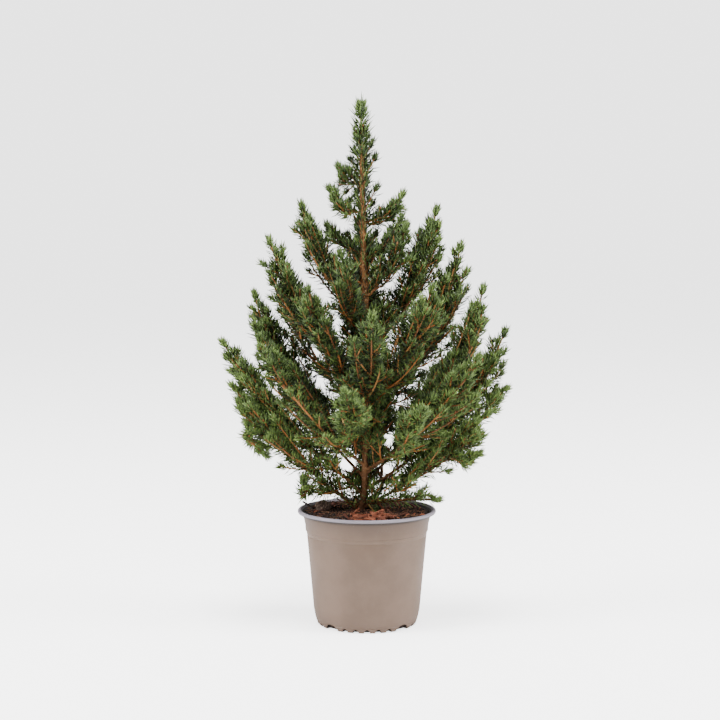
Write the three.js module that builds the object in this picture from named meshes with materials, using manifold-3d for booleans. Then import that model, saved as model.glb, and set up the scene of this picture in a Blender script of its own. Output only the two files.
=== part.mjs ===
// A young dwarf Alberta spruce in a round nursery pot.
//
// Millimetres, +Z up. The origin is the centre of the pot's flat underside. The viewer who
// stands in front of the plant looks along +Y, with +X on the right.
//
// Trunk, boughs and foliage all start as a LatheGeometry: a round, closed body on a straight
// axis. bend() lays that axis along a curve, and cut() makes room for the neighbours.

import * as THREE from 'three';
import { mergeVertices } from 'three/addons/utils/BufferGeometryUtils.js';
import Module from 'manifold-3d';

const wasm = await Module();
wasm.setup();

// ---------------------------------------------------------------- driving dimensions

const GAP = 0.35;              // clearance kept between pieces that touch

const POT_HEIGHT = 108.5;
const RIM_RADIUS = 65;         // outer edge of the rolled lip
const LIP_HEIGHT = 4;
const LIP_WIDTH = 3.6;
const COLLAR_TOP_RADIUS = 60;  // band under the lip
const COLLAR_FOOT_RADIUS = 57.4;
const COLLAR_FOOT = 88.5;
const WALL_TOP_RADIUS = 56.6;
const SKIRT_RADIUS = 50;       // where the wall turns in towards the foot
const SKIRT_HEIGHT = 15;
const FOOT_RADIUS = 46.4;
const WALL = 1.3;
const FLOOR = 1.6;

const QUARTERS = 4;            // the drainage pattern repeats four times round the foot
const ARCH_WIDTH = 13;
const ARCH_HEIGHT = 5;
const NOTCH_ANGLES = [-26, -13, 0, 13, 26];
const NOTCH_WIDTH = 5.5;
const NOTCH_HEIGHT = 3;
const HOLE_DEPTH = 9;          // how far a drainage hole is cut inwards

const SOIL_LEVEL = 102.6;      // flat patch round the trunk's foot
const SOIL_EDGE = 100.4;
const SOIL_ROUGHNESS = 0.9;

const TRUNK_FOOT = SOIL_LEVEL + GAP;
const TRUNK_TOP = 484;
const TRUNK_LINE = [           // sideways places of the trunk's middle, by height
  [-5.5, 0, TRUNK_FOOT],
  [-5.5, 0, TRUNK_FOOT + 6],
  [-2.6, 0, 124],
  [-1.6, 0, 180],
  [-0.9, 0, 290],
  [-2.8, 0, 330],
  [-4.0, 0, 385],
  [-5.5, 0, TRUNK_TOP],
];
const TRUNK_RADII = [          // share of the length, radius
  [0, 5.0],
  [0.02, 3.9],
  [0.06, 3.1],
  [0.2, 2.7],
  [0.45, 2.8],
  [0.6, 2.8],
  [0.7, 2.3],
  [0.85, 1.6],
  [1, 0.7],
];

const BOUGH_RADIUS = 1.9;      // at the trunk, for a bough of full length
const BOUGH_END = 1.3;

// Boughs and the mass of foliage each one carries. angle is seen from above, from +X towards
// +Y. start and top are heights, reach is how far the tip stands out from the trunk. The limb
// first heads for its knee, given as shares of reach and rise, and then turns up to the tip.
// girth is the mass's radius, and bare is the share of the limb that carries no foliage.
const BOUGHS = [
  { name: 'low_right', angle: -6, start: 108, reach: 121, top: 201, knee: [0.6, 0.42],
    girth: 20, bare: 0.24 },
  { name: 'low_left', angle: 183, start: 108, reach: 121, top: 226, knee: [0.58, 0.38],
    girth: 21, bare: 0.24 },
  { name: 'right', angle: 2, start: 126, reach: 133, top: 276, knee: [0.8, 0.42],
    girth: 21, bare: 0.24 },
  { name: 'left', angle: 179, start: 122, reach: 133, top: 266, knee: [0.62, 0.5],
    girth: 21, bare: 0.24 },
  { name: 'right_inner', angle: -9, start: 142, reach: 111, top: 317, knee: [0.8, 0.38],
    girth: 20, bare: 0.26 },
  { name: 'left_inner', angle: 172, start: 168, reach: 106, top: 311, knee: [0.78, 0.42],
    girth: 21, bare: 0.24 },
  { name: 'upper_right', angle: 8, start: 188, reach: 91, top: 356, knee: [0.8, 0.42],
    girth: 20, bare: 0.23 },
  { name: 'upper_left', angle: 190, start: 212, reach: 91, top: 362, knee: [0.75, 0.42],
    girth: 20, bare: 0.22 },
  { name: 'crown_right', angle: 6, start: 252, reach: 67, top: 390, knee: [0.78, 0.4],
    girth: 17, bare: 0.19 },
  { name: 'crown_left', angle: 184, start: 283, reach: 61, top: 394, knee: [0.75, 0.4],
    girth: 17, bare: 0.16 },
  { name: 'front_right', angle: -46, start: 205, reach: 87, top: 320, knee: [0.75, 0.42],
    girth: 22, bare: 0.2 },
  { name: 'front_left', angle: 229, start: 210, reach: 80, top: 318, knee: [0.75, 0.42],
    girth: 22, bare: 0.2 },
  { name: 'front', angle: -86, start: 196, reach: 84, top: 296, knee: [0.78, 0.42],
    girth: 22, bare: 0.2 },
  { name: 'front_low_right', angle: -32, start: 145, reach: 121, top: 258, knee: [0.75, 0.45],
    girth: 22, bare: 0.24 },
  { name: 'front_low_left', angle: 213, start: 150, reach: 115, top: 276, knee: [0.75, 0.45],
    girth: 22, bare: 0.24 },
  { name: 'back_right', angle: 38, start: 196, reach: 104, top: 322, knee: [0.76, 0.42],
    girth: 23, bare: 0.22 },
  { name: 'back_left', angle: 141, start: 190, reach: 102, top: 330, knee: [0.76, 0.42],
    girth: 23, bare: 0.22 },
  { name: 'back', angle: 88, start: 204, reach: 98, top: 316, knee: [0.76, 0.42],
    girth: 23, bare: 0.22 },
  { name: 'back_low_right', angle: 48, start: 132, reach: 126, top: 246, knee: [0.72, 0.45],
    girth: 24, bare: 0.23 },
  { name: 'back_low_left', angle: 134, start: 138, reach: 127, top: 254, knee: [0.72, 0.45],
    girth: 24, bare: 0.23 },
];

// Masses on a side branch that is hidden from its foot on: on is the trunk or the bough it
// grows from, and at is a height on the trunk or a share of the bough's length.
const SPRAYS = [
  { name: 'leader_left_high', on: 'trunk', at: 404, tip: [-27, 2, 429], knee: [0.8, 0.3], girth: 6 },
  { name: 'leader_left_mid', on: 'trunk', at: 381, tip: [-35, -3, 409], knee: [0.8, 0.3], girth: 6.5 },
  { name: 'leader_left_low', on: 'trunk', at: 348, tip: [-38, 3, 375], knee: [0.8, 0.3], girth: 7 },
  { name: 'leader_right_high', on: 'trunk', at: 368, tip: [34, 2, 403], knee: [0.8, 0.3], girth: 7 },
  { name: 'leader_right_low', on: 'trunk', at: 340, tip: [33, -4, 382], knee: [0.8, 0.3], girth: 7 },
  { name: 'crown_front_right', on: 'trunk', at: 287, tip: [37, -18, 374], knee: [0.6, 0.4], girth: 14 },
  { name: 'crown_front_left', on: 'trunk', at: 258, tip: [-24, -44, 351], knee: [0.7, 0.4], girth: 17 },
  { name: 'crown_back', on: 'trunk', at: 258, tip: [-6, 58, 380], knee: [0.75, 0.4], girth: 20 },
  { name: 'right_tip', on: 'right', at: 0.56, tip: [131, -2, 223], knee: [0.6, 0.5], girth: 13 },
  { name: 'low_right_tip', on: 'low_right', at: 0.6, tip: [106, -26, 164], knee: [0.5, 0.2], girth: 12 },
  { name: 'low_left_tip', on: 'low_left', at: 0.58, tip: [-112, -26, 173], knee: [0.5, 0.2], girth: 13 },
  { name: 'skirt_right', on: 'trunk', at: 112, tip: [67, -20, 120], knee: [0.5, 0.8], girth: 8 },
  { name: 'skirt_left', on: 'low_left', at: 0.3, tip: [-70, -24, 123], knee: [0.5, 0.2], girth: 9 },
  { name: 'front_low', on: 'trunk', at: 166, tip: [-20, -104, 230], knee: [0.7, 0.5], girth: 16 },
  { name: 'front_low_side', on: 'trunk', at: 148, tip: [50, -92, 213], knee: [0.7, 0.5], girth: 15 },
  { name: 'back_low', on: 'trunk', at: 120, tip: [4, 124, 198], knee: [0.7, 0.5], girth: 22 },
];

const LEADER_FOOT = 330;       // where the foliage round the trunk's top begins
const LEADER_TIP = 490;
const LEADER_GIRTH = 15;

const SPRAY_BARE = 0.12;       // share of a side branch that carries no foliage

const POT_SIDES = 28;
const SOIL_SIDES = 20;
const TRUNK_SIDES = 8;
const MASS_SIDES = 8;
const MASS_RINGS = 8;
const LIMB_SIDES = 6;
const LIMB_RINGS = 4;

const MATERIALS = {
  pot: { color: 0xa99a8c, roughness: 0.6, metalness: 0 },
  soil: { color: 0x3a2a20, roughness: 0.95, metalness: 0 },
  bark: { color: 0x9a6a44, roughness: 0.9, metalness: 0 },
  foliage: { color: 0x4f6d3d, roughness: 0.75, metalness: 0 },
};

// ---------------------------------------------------------------- closed shapes

// Welds a geometry's shared corners and drops the triangles that a pole leaves without area.
function weld(geometry) {
  geometry.deleteAttribute('normal');
  geometry.deleteAttribute('uv');
  const merged = mergeVertices(geometry, 1e-3);
  const corners = merged.index.array;
  const kept = [];
  for (let i = 0; i < corners.length; i += 3) {
    const [a, b, c] = corners.slice(i, i + 3);
    if (a !== b && b !== c && c !== a) kept.push(a, b, c);
  }
  merged.setIndex(kept);
  return merged;
}

function toSolid(geometry) {
  const welded = weld(geometry);
  return new wasm.Manifold(new wasm.Mesh({
    numProp: 3,
    vertProperties: new Float32Array(welded.attributes.position.array),
    triVerts: new Uint32Array(welded.index.array),
  }));
}

function toGeometry(solid) {
  const mesh = solid.getMesh();
  const geometry = new THREE.BufferGeometry();
  const places = new THREE.BufferAttribute(new Float32Array(mesh.vertProperties), 3);
  geometry.setAttribute('position', places);
  geometry.setIndex([...mesh.triVerts]);
  geometry.computeVertexNormals();
  return geometry;
}

// Turns a profile of [radius, height] round the Z axis.
function turned(profile, segments) {
  const points = profile.map(([radius, height]) => new THREE.Vector2(radius, height));
  return new THREE.LatheGeometry(points, segments).rotateX(Math.PI / 2);
}

// Lays a body of unit length on the Z axis along a curve. Its cross-sections stay level with
// the curve's own normals, which are carried along without twist.
function bend(geometry, curve) {
  const steps = 60;
  const frames = curve.computeFrenetFrames(steps, false);
  const place = geometry.attributes.position;
  const length = curve.getLength();
  for (let i = 0; i < place.count; i += 1) {
    const share = THREE.MathUtils.clamp(place.getZ(i), 0, 1);
    const beyond = (place.getZ(i) - share) * length;
    const step = Math.round(share * steps);
    const point = curve.getPointAt(share)
      .addScaledVector(frames.normals[step], place.getX(i))
      .addScaledVector(frames.binormals[step], place.getY(i))
      .addScaledVector(frames.tangents[step], beyond);
    place.setXYZ(i, point.x, point.y, point.z);
  }
  return geometry;
}

// A round limb along the part of a curve between two shares of its length. grow makes it
// thicker and longer all round, for cutting room into its neighbours.
function limb(curve, from, to, radiusAt, grow = 0) {
  const ends = grow / curve.getLength();
  const profile = [[0, from - ends]];
  for (let ring = 0; ring <= LIMB_RINGS; ring += 1) {
    const share = ring / LIMB_RINGS;
    const along = THREE.MathUtils.lerp(from - ends, to + ends, share);
    profile.push([radiusAt(share) + grow, along]);
  }
  profile.push([0, to + ends]);
  return toSolid(bend(turned(profile, LIMB_SIDES), curve));
}

// Unevenness of a mass: shallow lobes whose places depend on the mass's own number.
function lobes(angle, share, number) {
  const wave = 0.15 * Math.sin(2 * angle + 2.4 * number + 3 * share);
  const knots = 0.13 * Math.sin(3 * angle - 1.7 * number + 9 * share);
  const bumps = 0.1 * Math.sin(17 * share + 4.1 * number);
  return 1 + wave + knots + bumps;
}

// A mass of foliage round a curve: narrow at its foot, full past its middle, and drawn out
// to a point at the tip of the shoot.
function mass(curve, from, girth, number, grow = 0) {
  const ends = grow / curve.getLength();
  const profile = [[0, from - ends]];
  for (let ring = 1; ring < MASS_RINGS; ring += 1) {
    const share = ring / MASS_RINGS;
    const fullness = Math.sin(Math.PI * share ** 0.8) ** 0.6;
    profile.push([girth * fullness, THREE.MathUtils.lerp(from, 1, share)]);
  }
  profile.push([0, 1 + ends]);
  const body = turned(profile, MASS_SIDES);
  const place = body.attributes.position;
  for (let i = 0; i < place.count; i += 1) {
    const radius = Math.hypot(place.getX(i), place.getY(i));
    if (radius > 1e-6) {
      const angle = Math.atan2(place.getY(i), place.getX(i));
      const share = (place.getZ(i) - from) / (1 - from);
      const scale = lobes(angle, share, number) + grow / radius;
      place.setX(i, place.getX(i) * scale);
      place.setY(i, place.getY(i) * scale);
    }
  }
  return toSolid(bend(body, curve));
}

// ---------------------------------------------------------------- pieces and clearances

const plant = new THREE.Group();
const blocks = [];             // what later pieces are cut round, each grown by the gap

function overlaps(a, b) {
  const one = a.boundingBox();
  const two = b.boundingBox();
  return [0, 1, 2].every((axis) => one.min[axis] < two.max[axis] && two.min[axis] < one.max[axis]);
}

// Cuts a solid round everything placed before it and keeps its largest part.
function cut(solid) {
  let rest = solid;
  for (const block of blocks) {
    if (overlaps(rest, block)) rest = rest.subtract(block);
  }
  return rest.decompose().sort((a, b) => b.volume() - a.volume())[0];
}

function add(name, solid, finish) {
  const mesh = new THREE.Mesh(toGeometry(solid), new THREE.MeshStandardMaterial(MATERIALS[finish]));
  mesh.name = name;
  plant.add(mesh);
}

// ---------------------------------------------------------------- pot and soil

// Half-round opening through the foot of the wall, at an angle round the pot.
function drainHole(width, height, angle) {
  const outline = new THREE.Shape();
  outline.moveTo(-width / 2, -1);
  outline.lineTo(width / 2, -1);
  outline.absellipse(0, 0, width / 2, height, 0, Math.PI, false, 0);
  const settings = { depth: HOLE_DEPTH, bevelEnabled: false, curveSegments: 3 };
  const hole = new THREE.ExtrudeGeometry(outline, settings);
  hole.rotateX(Math.PI / 2).rotateZ(Math.PI);
  hole.translate(0, FOOT_RADIUS - 4, 0);
  hole.rotateZ(THREE.MathUtils.degToRad(angle - 90));
  return toSolid(hole);
}

function pot() {
  const lipInner = RIM_RADIUS - LIP_WIDTH;
  const lipFoot = POT_HEIGHT - LIP_HEIGHT;
  const profile = [
    [0, 0],
    [FOOT_RADIUS - 1.5, 0],
    [FOOT_RADIUS, 1.2],
    [SKIRT_RADIUS - 1.6, 6],
    [SKIRT_RADIUS, SKIRT_HEIGHT],
    [WALL_TOP_RADIUS, COLLAR_FOOT - 1],
    [COLLAR_FOOT_RADIUS, COLLAR_FOOT],
    [COLLAR_TOP_RADIUS, lipFoot - 0.4],
    [RIM_RADIUS - 0.6, lipFoot],
    [RIM_RADIUS, lipFoot + 1.4],
    [RIM_RADIUS - 1, POT_HEIGHT],
    [lipInner, POT_HEIGHT - 0.8],
    [COLLAR_TOP_RADIUS - WALL, lipFoot - 1],
    [WALL_TOP_RADIUS - WALL, COLLAR_FOOT - 1],
    [SKIRT_RADIUS - WALL, SKIRT_HEIGHT],
    [FOOT_RADIUS - WALL, FLOOR],
    [0, FLOOR],
  ];
  let body = toSolid(turned(profile, POT_SIDES));
  for (let quarter = 0; quarter < QUARTERS; quarter += 1) {
    const turn = quarter * 90 - 90;
    body = body.subtract(drainHole(ARCH_WIDTH, ARCH_HEIGHT, turn + 45));
    for (const angle of NOTCH_ANGLES) {
      body = body.subtract(drainHole(NOTCH_WIDTH, NOTCH_HEIGHT, turn + angle));
    }
  }
  return body;
}

function soil() {
  const clear = WALL + 2 * GAP;
  const profile = [
    [0, FLOOR + GAP],
    [FOOT_RADIUS - clear, FLOOR + GAP],
    [SKIRT_RADIUS - clear, SKIRT_HEIGHT],
    [WALL_TOP_RADIUS - clear, COLLAR_FOOT - 2],
    [COLLAR_FOOT_RADIUS - clear, SOIL_EDGE],
    [44, SOIL_EDGE + 1],
    [26, SOIL_LEVEL - 0.6],
    [10, SOIL_LEVEL],
    [0, SOIL_LEVEL],
  ];
  const body = turned(profile, SOIL_SIDES);
  const place = body.attributes.position;
  for (let i = 0; i < place.count; i += 1) {
    const radius = Math.hypot(place.getX(i), place.getY(i));
    if (place.getZ(i) > SOIL_EDGE - 1 && radius > 20) {
      const lump = Math.sin(0.31 * place.getX(i)) * Math.sin(0.27 * place.getY(i) + 1);
      place.setZ(i, place.getZ(i) + SOIL_ROUGHNESS * lump);
    }
  }
  return toSolid(body);
}

add('pot', pot(), 'pot');
add('soil', soil(), 'soil');

// ---------------------------------------------------------------- trunk

const trunkLine = new THREE.CatmullRomCurve3(TRUNK_LINE.map((point) => new THREE.Vector3(...point)));

function trunk(grow) {
  const ends = grow / trunkLine.getLength();
  const profile = TRUNK_RADII.map(([share, radius]) => [radius + grow, share]);
  profile[0][1] -= ends;
  profile.at(-1)[1] += ends;
  profile.unshift([0, profile[0][1]]);
  profile.push([0, profile.at(-1)[1]]);
  return toSolid(bend(turned(profile, TRUNK_SIDES), trunkLine));
}

function trunkAt(height) {
  const share = (height - TRUNK_FOOT) / (TRUNK_TOP - TRUNK_FOOT);
  return trunkLine.getPointAt(THREE.MathUtils.clamp(share, 0, 1));
}

add('trunk', trunk(0), 'bark');
blocks.push(trunk(GAP));

// ---------------------------------------------------------------- boughs and foliage

// A limb's line: from its start towards the knee, and turning up to the tip.
function limbLine(start, tip, [out, up]) {
  const knee = new THREE.Vector3(
    THREE.MathUtils.lerp(start.x, tip.x, out),
    THREE.MathUtils.lerp(start.y, tip.y, out),
    THREE.MathUtils.lerp(start.z, tip.z, up),
  );
  return new THREE.QuadraticBezierCurve3(start, knee, tip);
}

const lines = {};
for (const { name, angle, start, reach, top, knee } of BOUGHS) {
  const turn = THREE.MathUtils.degToRad(angle);
  const foot = trunkAt(start);
  const tip = new THREE.Vector3(foot.x + reach * Math.cos(turn), reach * Math.sin(turn), top);
  lines[name] = limbLine(foot, tip, knee);
}

for (const { name, bare } of BOUGHS) {
  const line = lines[name];
  const foot = BOUGH_RADIUS * Math.min(1, line.getLength() / 190);
  const radiusAt = (share) => THREE.MathUtils.lerp(foot, BOUGH_END, share);
  add(`bough_${name}`, cut(limb(line, 0, bare, radiusAt)), 'bark');
  blocks.push(limb(line, 0, bare, radiusAt, GAP));
}

function addMass(name, line, from, girth) {
  const number = blocks.length;
  const heel = from + GAP / line.getLength();
  add(`foliage_${name}`, cut(mass(line, heel, girth, number)), 'foliage');
  blocks.push(mass(line, heel, girth, number, GAP));
}

const leaderLine = new THREE.CatmullRomCurve3([
  trunkAt(LEADER_FOOT),
  trunkAt(400),
  trunkAt(450),
  new THREE.Vector3(-5.5, 0, LEADER_TIP),
]);
addMass('leader', leaderLine, 0, LEADER_GIRTH);

for (const { name, girth, bare } of BOUGHS) addMass(name, lines[name], bare, girth);

for (const { name, on, at, tip, knee, girth } of SPRAYS) {
  const start = on === 'trunk' ? trunkAt(at) : lines[on].getPointAt(at);
  addMass(name, limbLine(start, new THREE.Vector3(...tip), knee), SPRAY_BARE, girth);
}

export default plant;
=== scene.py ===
# %% [markdown]
# # A young dwarf spruce in its nursery pot
#
# This lesson builds a small conifer the way it grows. The frame gives the pot, the trunk, the
# boughs and one closed solid for each mass of foliage. Every limb's line is read back from
# those solids, so the plant keeps its size and stance, and each mass is then filled with side
# shoots, needles and buds by a rule with a seeded random generator.

# %% Load the frame
import math
import bpy
import numpy as np
from mathutils import Euler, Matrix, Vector
from mathutils.bvhtree import BVHTree


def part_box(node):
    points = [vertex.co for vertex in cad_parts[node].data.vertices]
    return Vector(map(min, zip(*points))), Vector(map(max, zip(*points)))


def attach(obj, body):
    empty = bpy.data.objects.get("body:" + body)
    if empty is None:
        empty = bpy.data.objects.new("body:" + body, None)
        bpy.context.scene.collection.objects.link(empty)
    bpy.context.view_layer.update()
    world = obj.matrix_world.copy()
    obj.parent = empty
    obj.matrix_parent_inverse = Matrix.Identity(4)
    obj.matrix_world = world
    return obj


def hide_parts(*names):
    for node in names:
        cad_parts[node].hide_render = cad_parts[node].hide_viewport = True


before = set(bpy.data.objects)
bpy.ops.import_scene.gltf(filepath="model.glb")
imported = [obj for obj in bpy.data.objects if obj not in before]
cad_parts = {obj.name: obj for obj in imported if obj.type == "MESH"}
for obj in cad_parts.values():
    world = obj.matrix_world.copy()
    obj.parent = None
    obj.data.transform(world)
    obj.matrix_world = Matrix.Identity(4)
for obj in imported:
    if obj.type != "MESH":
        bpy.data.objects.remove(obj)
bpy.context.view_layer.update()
MM = 0.001
UP = np.array((0.0, 0.0, 1.0))

# %% [markdown]
# ## The camera
#
# A plant on a table is looked at from a little above its pot, from far enough away that the
# pot's sides stay nearly upright. A long lens from about a metre and a half does that.

# %% Camera
LENS = 85
VIEW_DISTANCE = 1.58
VIEW_HEIGHT = 0.385
AIM = Vector((-0.0064, 0.0, 0.2485))
camera = bpy.data.objects.new("camera", bpy.data.cameras.new("camera"))
camera.data.lens = LENS
camera.location = (AIM.x, -VIEW_DISTANCE, VIEW_HEIGHT)
camera.rotation_euler = (AIM - camera.location).to_track_quat("-Z", "Y").to_euler()
bpy.context.collection.objects.link(camera)
bpy.context.scene.camera = camera
print("camera", tuple(round(value, 3) for value in camera.location))

# %% [markdown]
# ## Tools that every step shares
#
# An operator acts on whatever is selected, so one small function clears the selection, one
# opens a piece with all of it selected, and one turns its faces outwards and closes it again.
# Two more add and link shader nodes, so that a material reads as a short list.

# %% Tools for pieces and nodes
def clear_selection():
    bpy.ops.object.select_all(action="DESELECT")


def select_only(piece):
    clear_selection()
    piece.select_set(True)
    bpy.context.view_layer.objects.active = piece


def finished(name):
    """Names the active object and puts its place into its mesh."""
    piece = bpy.context.object
    piece.name = name
    piece.data.name = name
    bpy.ops.object.transform_apply(location=True, rotation=True, scale=True)
    return piece


def start_editing():
    bpy.ops.object.mode_set(mode="EDIT")
    bpy.ops.mesh.select_all(action="SELECT")


def close_body():
    """Turns every face outwards and leaves edit mode."""
    bpy.ops.mesh.select_all(action="SELECT")
    bpy.ops.mesh.normals_make_consistent(inside=False)
    bpy.ops.object.mode_set(mode="OBJECT")


def smooth_to(piece, degrees):
    """Smooth shading that keeps edges sharper than an angle."""
    select_only(piece)
    bpy.ops.object.shade_smooth_by_angle(angle=math.radians(degrees))


def apply_modifier(piece, kind, **settings):
    """Adds one modifier and applies it."""
    select_only(piece)
    modifier = piece.modifiers.new(kind.lower(), kind)
    for title, value in settings.items():
        setattr(modifier, title, value)
    bpy.ops.object.modifier_apply(modifier=modifier.name)


def add_node(tree, kind, **options):
    node = tree.nodes.new(f"ShaderNode{kind}")
    for title, value in options.items():
        setattr(node, title, value)
    return node


def wire(tree, *joints):
    """Links nodes. A joint is a node, its output, the next node and the input there."""
    for node, output, following, socket in joints:
        tree.links.new(node.outputs[output], following.inputs[socket])


def plain_material(name, colour, roughness, specular):
    """A material whose colour and roughness are the same all over."""
    material = bpy.data.materials.new(name)
    material.use_nodes = True
    shader = material.node_tree.nodes["Principled BSDF"]
    shader.inputs["Base Color"].default_value = (*colour, 1)
    shader.inputs["Roughness"].default_value = roughness
    shader.inputs["Specular IOR Level"].default_value = specular
    return material


print("tools ready")

# %% [markdown]
# ## The studio
#
# Fine needles need soft light, or the crown turns into a black lump with sparkling edges. A
# pale world lights the plant from everywhere. A broad lamp at each side gives the limbs and
# the pot bright edges and a darker middle, and a third one above lights the tips.

# %% Floor and backdrop
FLOOR_REACH = 14
FLOOR_GLOW = (0.35, 2.5)
SKY_GLOW = (0.6, 3.05)


def glow(tree, lighting, seen):
    """One strength for the light that falls on the plant, another for the backdrop itself."""
    strength = add_node(tree, "MapRange")
    path = add_node(tree, "LightPath")
    strength.inputs["To Min"].default_value = lighting
    strength.inputs["To Max"].default_value = seen
    wire(tree, (path, "Is Camera Ray", strength, "Value"))
    return strength.outputs["Result"]


clear_selection()
bpy.ops.mesh.primitive_circle_add(vertices=96, radius=FLOOR_REACH, fill_type="NGON")
floor = finished("studio_floor")
floor.data.materials.append(plain_material("pale_floor", (0.9, 0.9, 0.9), 1.0, 0.0))
floor_tree = floor.data.materials[0].node_tree
floor_shader = floor_tree.nodes["Principled BSDF"]
floor_shader.inputs["Emission Color"].default_value = (1, 1, 1, 1)
floor_tree.links.new(glow(floor_tree, *FLOOR_GLOW), floor_shader.inputs["Emission Strength"])

world = bpy.data.worlds.new("studio_world")
bpy.context.scene.world = world
world.use_nodes = True
backdrop = world.node_tree.nodes["Background"]
backdrop.inputs["Color"].default_value = (1, 1, 1, 1)
world.node_tree.links.new(glow(world.node_tree, *SKY_GLOW), backdrop.inputs["Strength"])
print("floor", 2 * FLOOR_REACH, "m across")

# %% Lamps
LAMPS = {
    "lamp_left": ((-2.1, -0.7, 1.2), 0.9),
    "lamp_right": ((2.2, -0.5, 1.1), 0.9),
    "lamp_above": ((0.0, -0.5, 2.4), 0.8),
}
LAMP_POWER = 95
for name, (place, size) in LAMPS.items():
    lamp = bpy.data.objects.new(name, bpy.data.lights.new(name, "AREA"))
    lamp.data.size = size
    lamp.data.energy = LAMP_POWER
    lamp.location = place
    lamp.rotation_euler = (AIM - lamp.location).to_track_quat("-Z", "Y").to_euler()
    bpy.context.collection.objects.link(lamp)
print(len(LAMPS), "lamps")

# %% [markdown]
# ## Finishes that several materials share
#
# Real surfaces are never one even colour. Moulded recycled plastic is faintly clouded, compost
# and bark are speckled, and all of them have a grain that can be felt. Those three effects are
# node groups with named inputs, built once, and each material places them with its own values.

# %% Shared effects
FLOAT, COLOUR, VECTOR = "NodeSocketFloat", "NodeSocketColor", "NodeSocketVector"
CLOUD_MIDDLE = 0.5


def new_group(name, inputs, outputs):
    """A shader node group. Inputs and outputs are pairs of a name and a socket type."""
    group = bpy.data.node_groups.new(name, "ShaderNodeTree")
    for sockets, way in ((inputs, "INPUT"), (outputs, "OUTPUT")):
        for title, kind in sockets:
            group.interface.new_socket(name=title, in_out=way, socket_type=kind)
    return group, group.nodes.new("NodeGroupInput"), group.nodes.new("NodeGroupOutput")


def clouded_group():
    """Blends two colours by soft clouds, whose edges are sharper the smaller the contrast."""
    group, given, out = new_group(
        "clouded", (("Place", VECTOR), ("First", COLOUR), ("Second", COLOUR),
                    ("Patches Per Metre", FLOAT), ("Contrast", FLOAT)), (("Color", COLOUR),))
    noise = add_node(group, "TexNoise")
    noise.inputs["Detail"].default_value = 4
    noise.inputs["Roughness"].default_value = 0.6
    spread = add_node(group, "MapRange", interpolation_type="SMOOTHSTEP")
    low = add_node(group, "Math", operation="SUBTRACT")
    low.inputs[0].default_value = CLOUD_MIDDLE
    high = add_node(group, "Math", operation="ADD")
    high.inputs[0].default_value = CLOUD_MIDDLE
    blend = add_node(group, "Mix", data_type="RGBA")
    wire(group, (given, "Place", noise, "Vector"), (given, "Patches Per Metre", noise, "Scale"),
         (given, "Contrast", low, 1), (given, "Contrast", high, 1), (noise, "Fac", spread, "Value"),
         (low, "Value", spread, "From Min"), (high, "Value", spread, "From Max"),
         (spread, "Result", blend, "Factor"), (given, "First", blend, "A"),
         (given, "Second", blend, "B"), (blend, "Result", out, "Color"))
    return group


def speckled_group():
    """Scatters small dots of another colour. Share is how much of the surface they take."""
    group, given, out = new_group(
        "speckled", (("Place", VECTOR), ("Color", COLOUR), ("Dots", COLOUR),
                     ("Dots Per Metre", FLOAT), ("Share", FLOAT)), (("Color", COLOUR),))
    cells = add_node(group, "TexVoronoi")
    inside = add_node(group, "Math", operation="LESS_THAN")
    blend = add_node(group, "Mix", data_type="RGBA")
    wire(group, (given, "Place", cells, "Vector"), (given, "Dots Per Metre", cells, "Scale"),
         (cells, "Distance", inside, 0), (given, "Share", inside, 1),
         (inside, "Value", blend, "Factor"), (given, "Color", blend, "A"),
         (given, "Dots", blend, "B"), (blend, "Result", out, "Color"))
    return group


def grain_group():
    """A fine uneven height and a roughness that changes with it."""
    group, given, out = new_group(
        "grain", (("Place", VECTOR), ("Grains Per Metre", FLOAT), ("Smooth", FLOAT),
                  ("Rough", FLOAT)), (("Height", FLOAT), ("Roughness", FLOAT)))
    noise = add_node(group, "TexNoise")
    noise.inputs["Detail"].default_value = 3
    rough = add_node(group, "MapRange")
    wire(group, (given, "Place", noise, "Vector"), (given, "Grains Per Metre", noise, "Scale"),
         (noise, "Fac", rough, "Value"), (given, "Smooth", rough, "To Min"),
         (given, "Rough", rough, "To Max"), (noise, "Fac", out, "Height"),
         (rough, "Result", out, "Roughness"))
    return group


CLOUDED, SPECKLED, GRAIN = clouded_group(), speckled_group(), grain_group()
print("effects", [group.name for group in (CLOUDED, SPECKLED, GRAIN)])

# %% [markdown]
# ## Placing an effect
#
# A material is put together like paint: one effect is laid over another, each with its own
# scale and colours, and a mask says where a stain or a rubbed patch begins. The patterns are
# measured in the object's own coordinates, so they keep their size on every piece.

# %% Placing an effect in a material
def place_group(material, group, place, **values):
    """Adds a group to a material. Underscores in the names of the values stand for spaces."""
    node = add_node(material.node_tree, "Group", node_tree=group)
    for title, value in values.items():
        set_or_link(material, node.inputs[title.replace("_", " ")], value)
    material.node_tree.links.new(place, node.inputs["Place"])
    return node


def set_or_link(material, socket, value):
    """Gives a socket a number, a colour, or what another node puts out."""
    if isinstance(value, bpy.types.NodeSocket):
        material.node_tree.links.new(value, socket)
    else:
        socket.default_value = (*value, 1) if isinstance(value, tuple) else value


def surface_places(material, stretch=(1, 1, 1)):
    """Object coordinates, stretched along an axis where a pattern has a direction."""
    coordinates = add_node(material.node_tree, "TexCoord")
    mapping = add_node(material.node_tree, "Mapping")
    mapping.inputs["Scale"].default_value = stretch
    wire(material.node_tree, (coordinates, "Object", mapping, "Vector"))
    return mapping.outputs["Vector"]


def height_mask(material, bottom, top):
    """Rises from 0 to 1 between two heights in metres."""
    coordinates = add_node(material.node_tree, "TexCoord")
    split = add_node(material.node_tree, "SeparateXYZ")
    rise = add_node(material.node_tree, "MapRange")
    rise.inputs["From Min"].default_value = bottom
    rise.inputs["From Max"].default_value = top
    wire(material.node_tree, (coordinates, "Object", split, "Vector"), (split, "Z", rise, "Value"))
    return rise.outputs["Result"]


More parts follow.
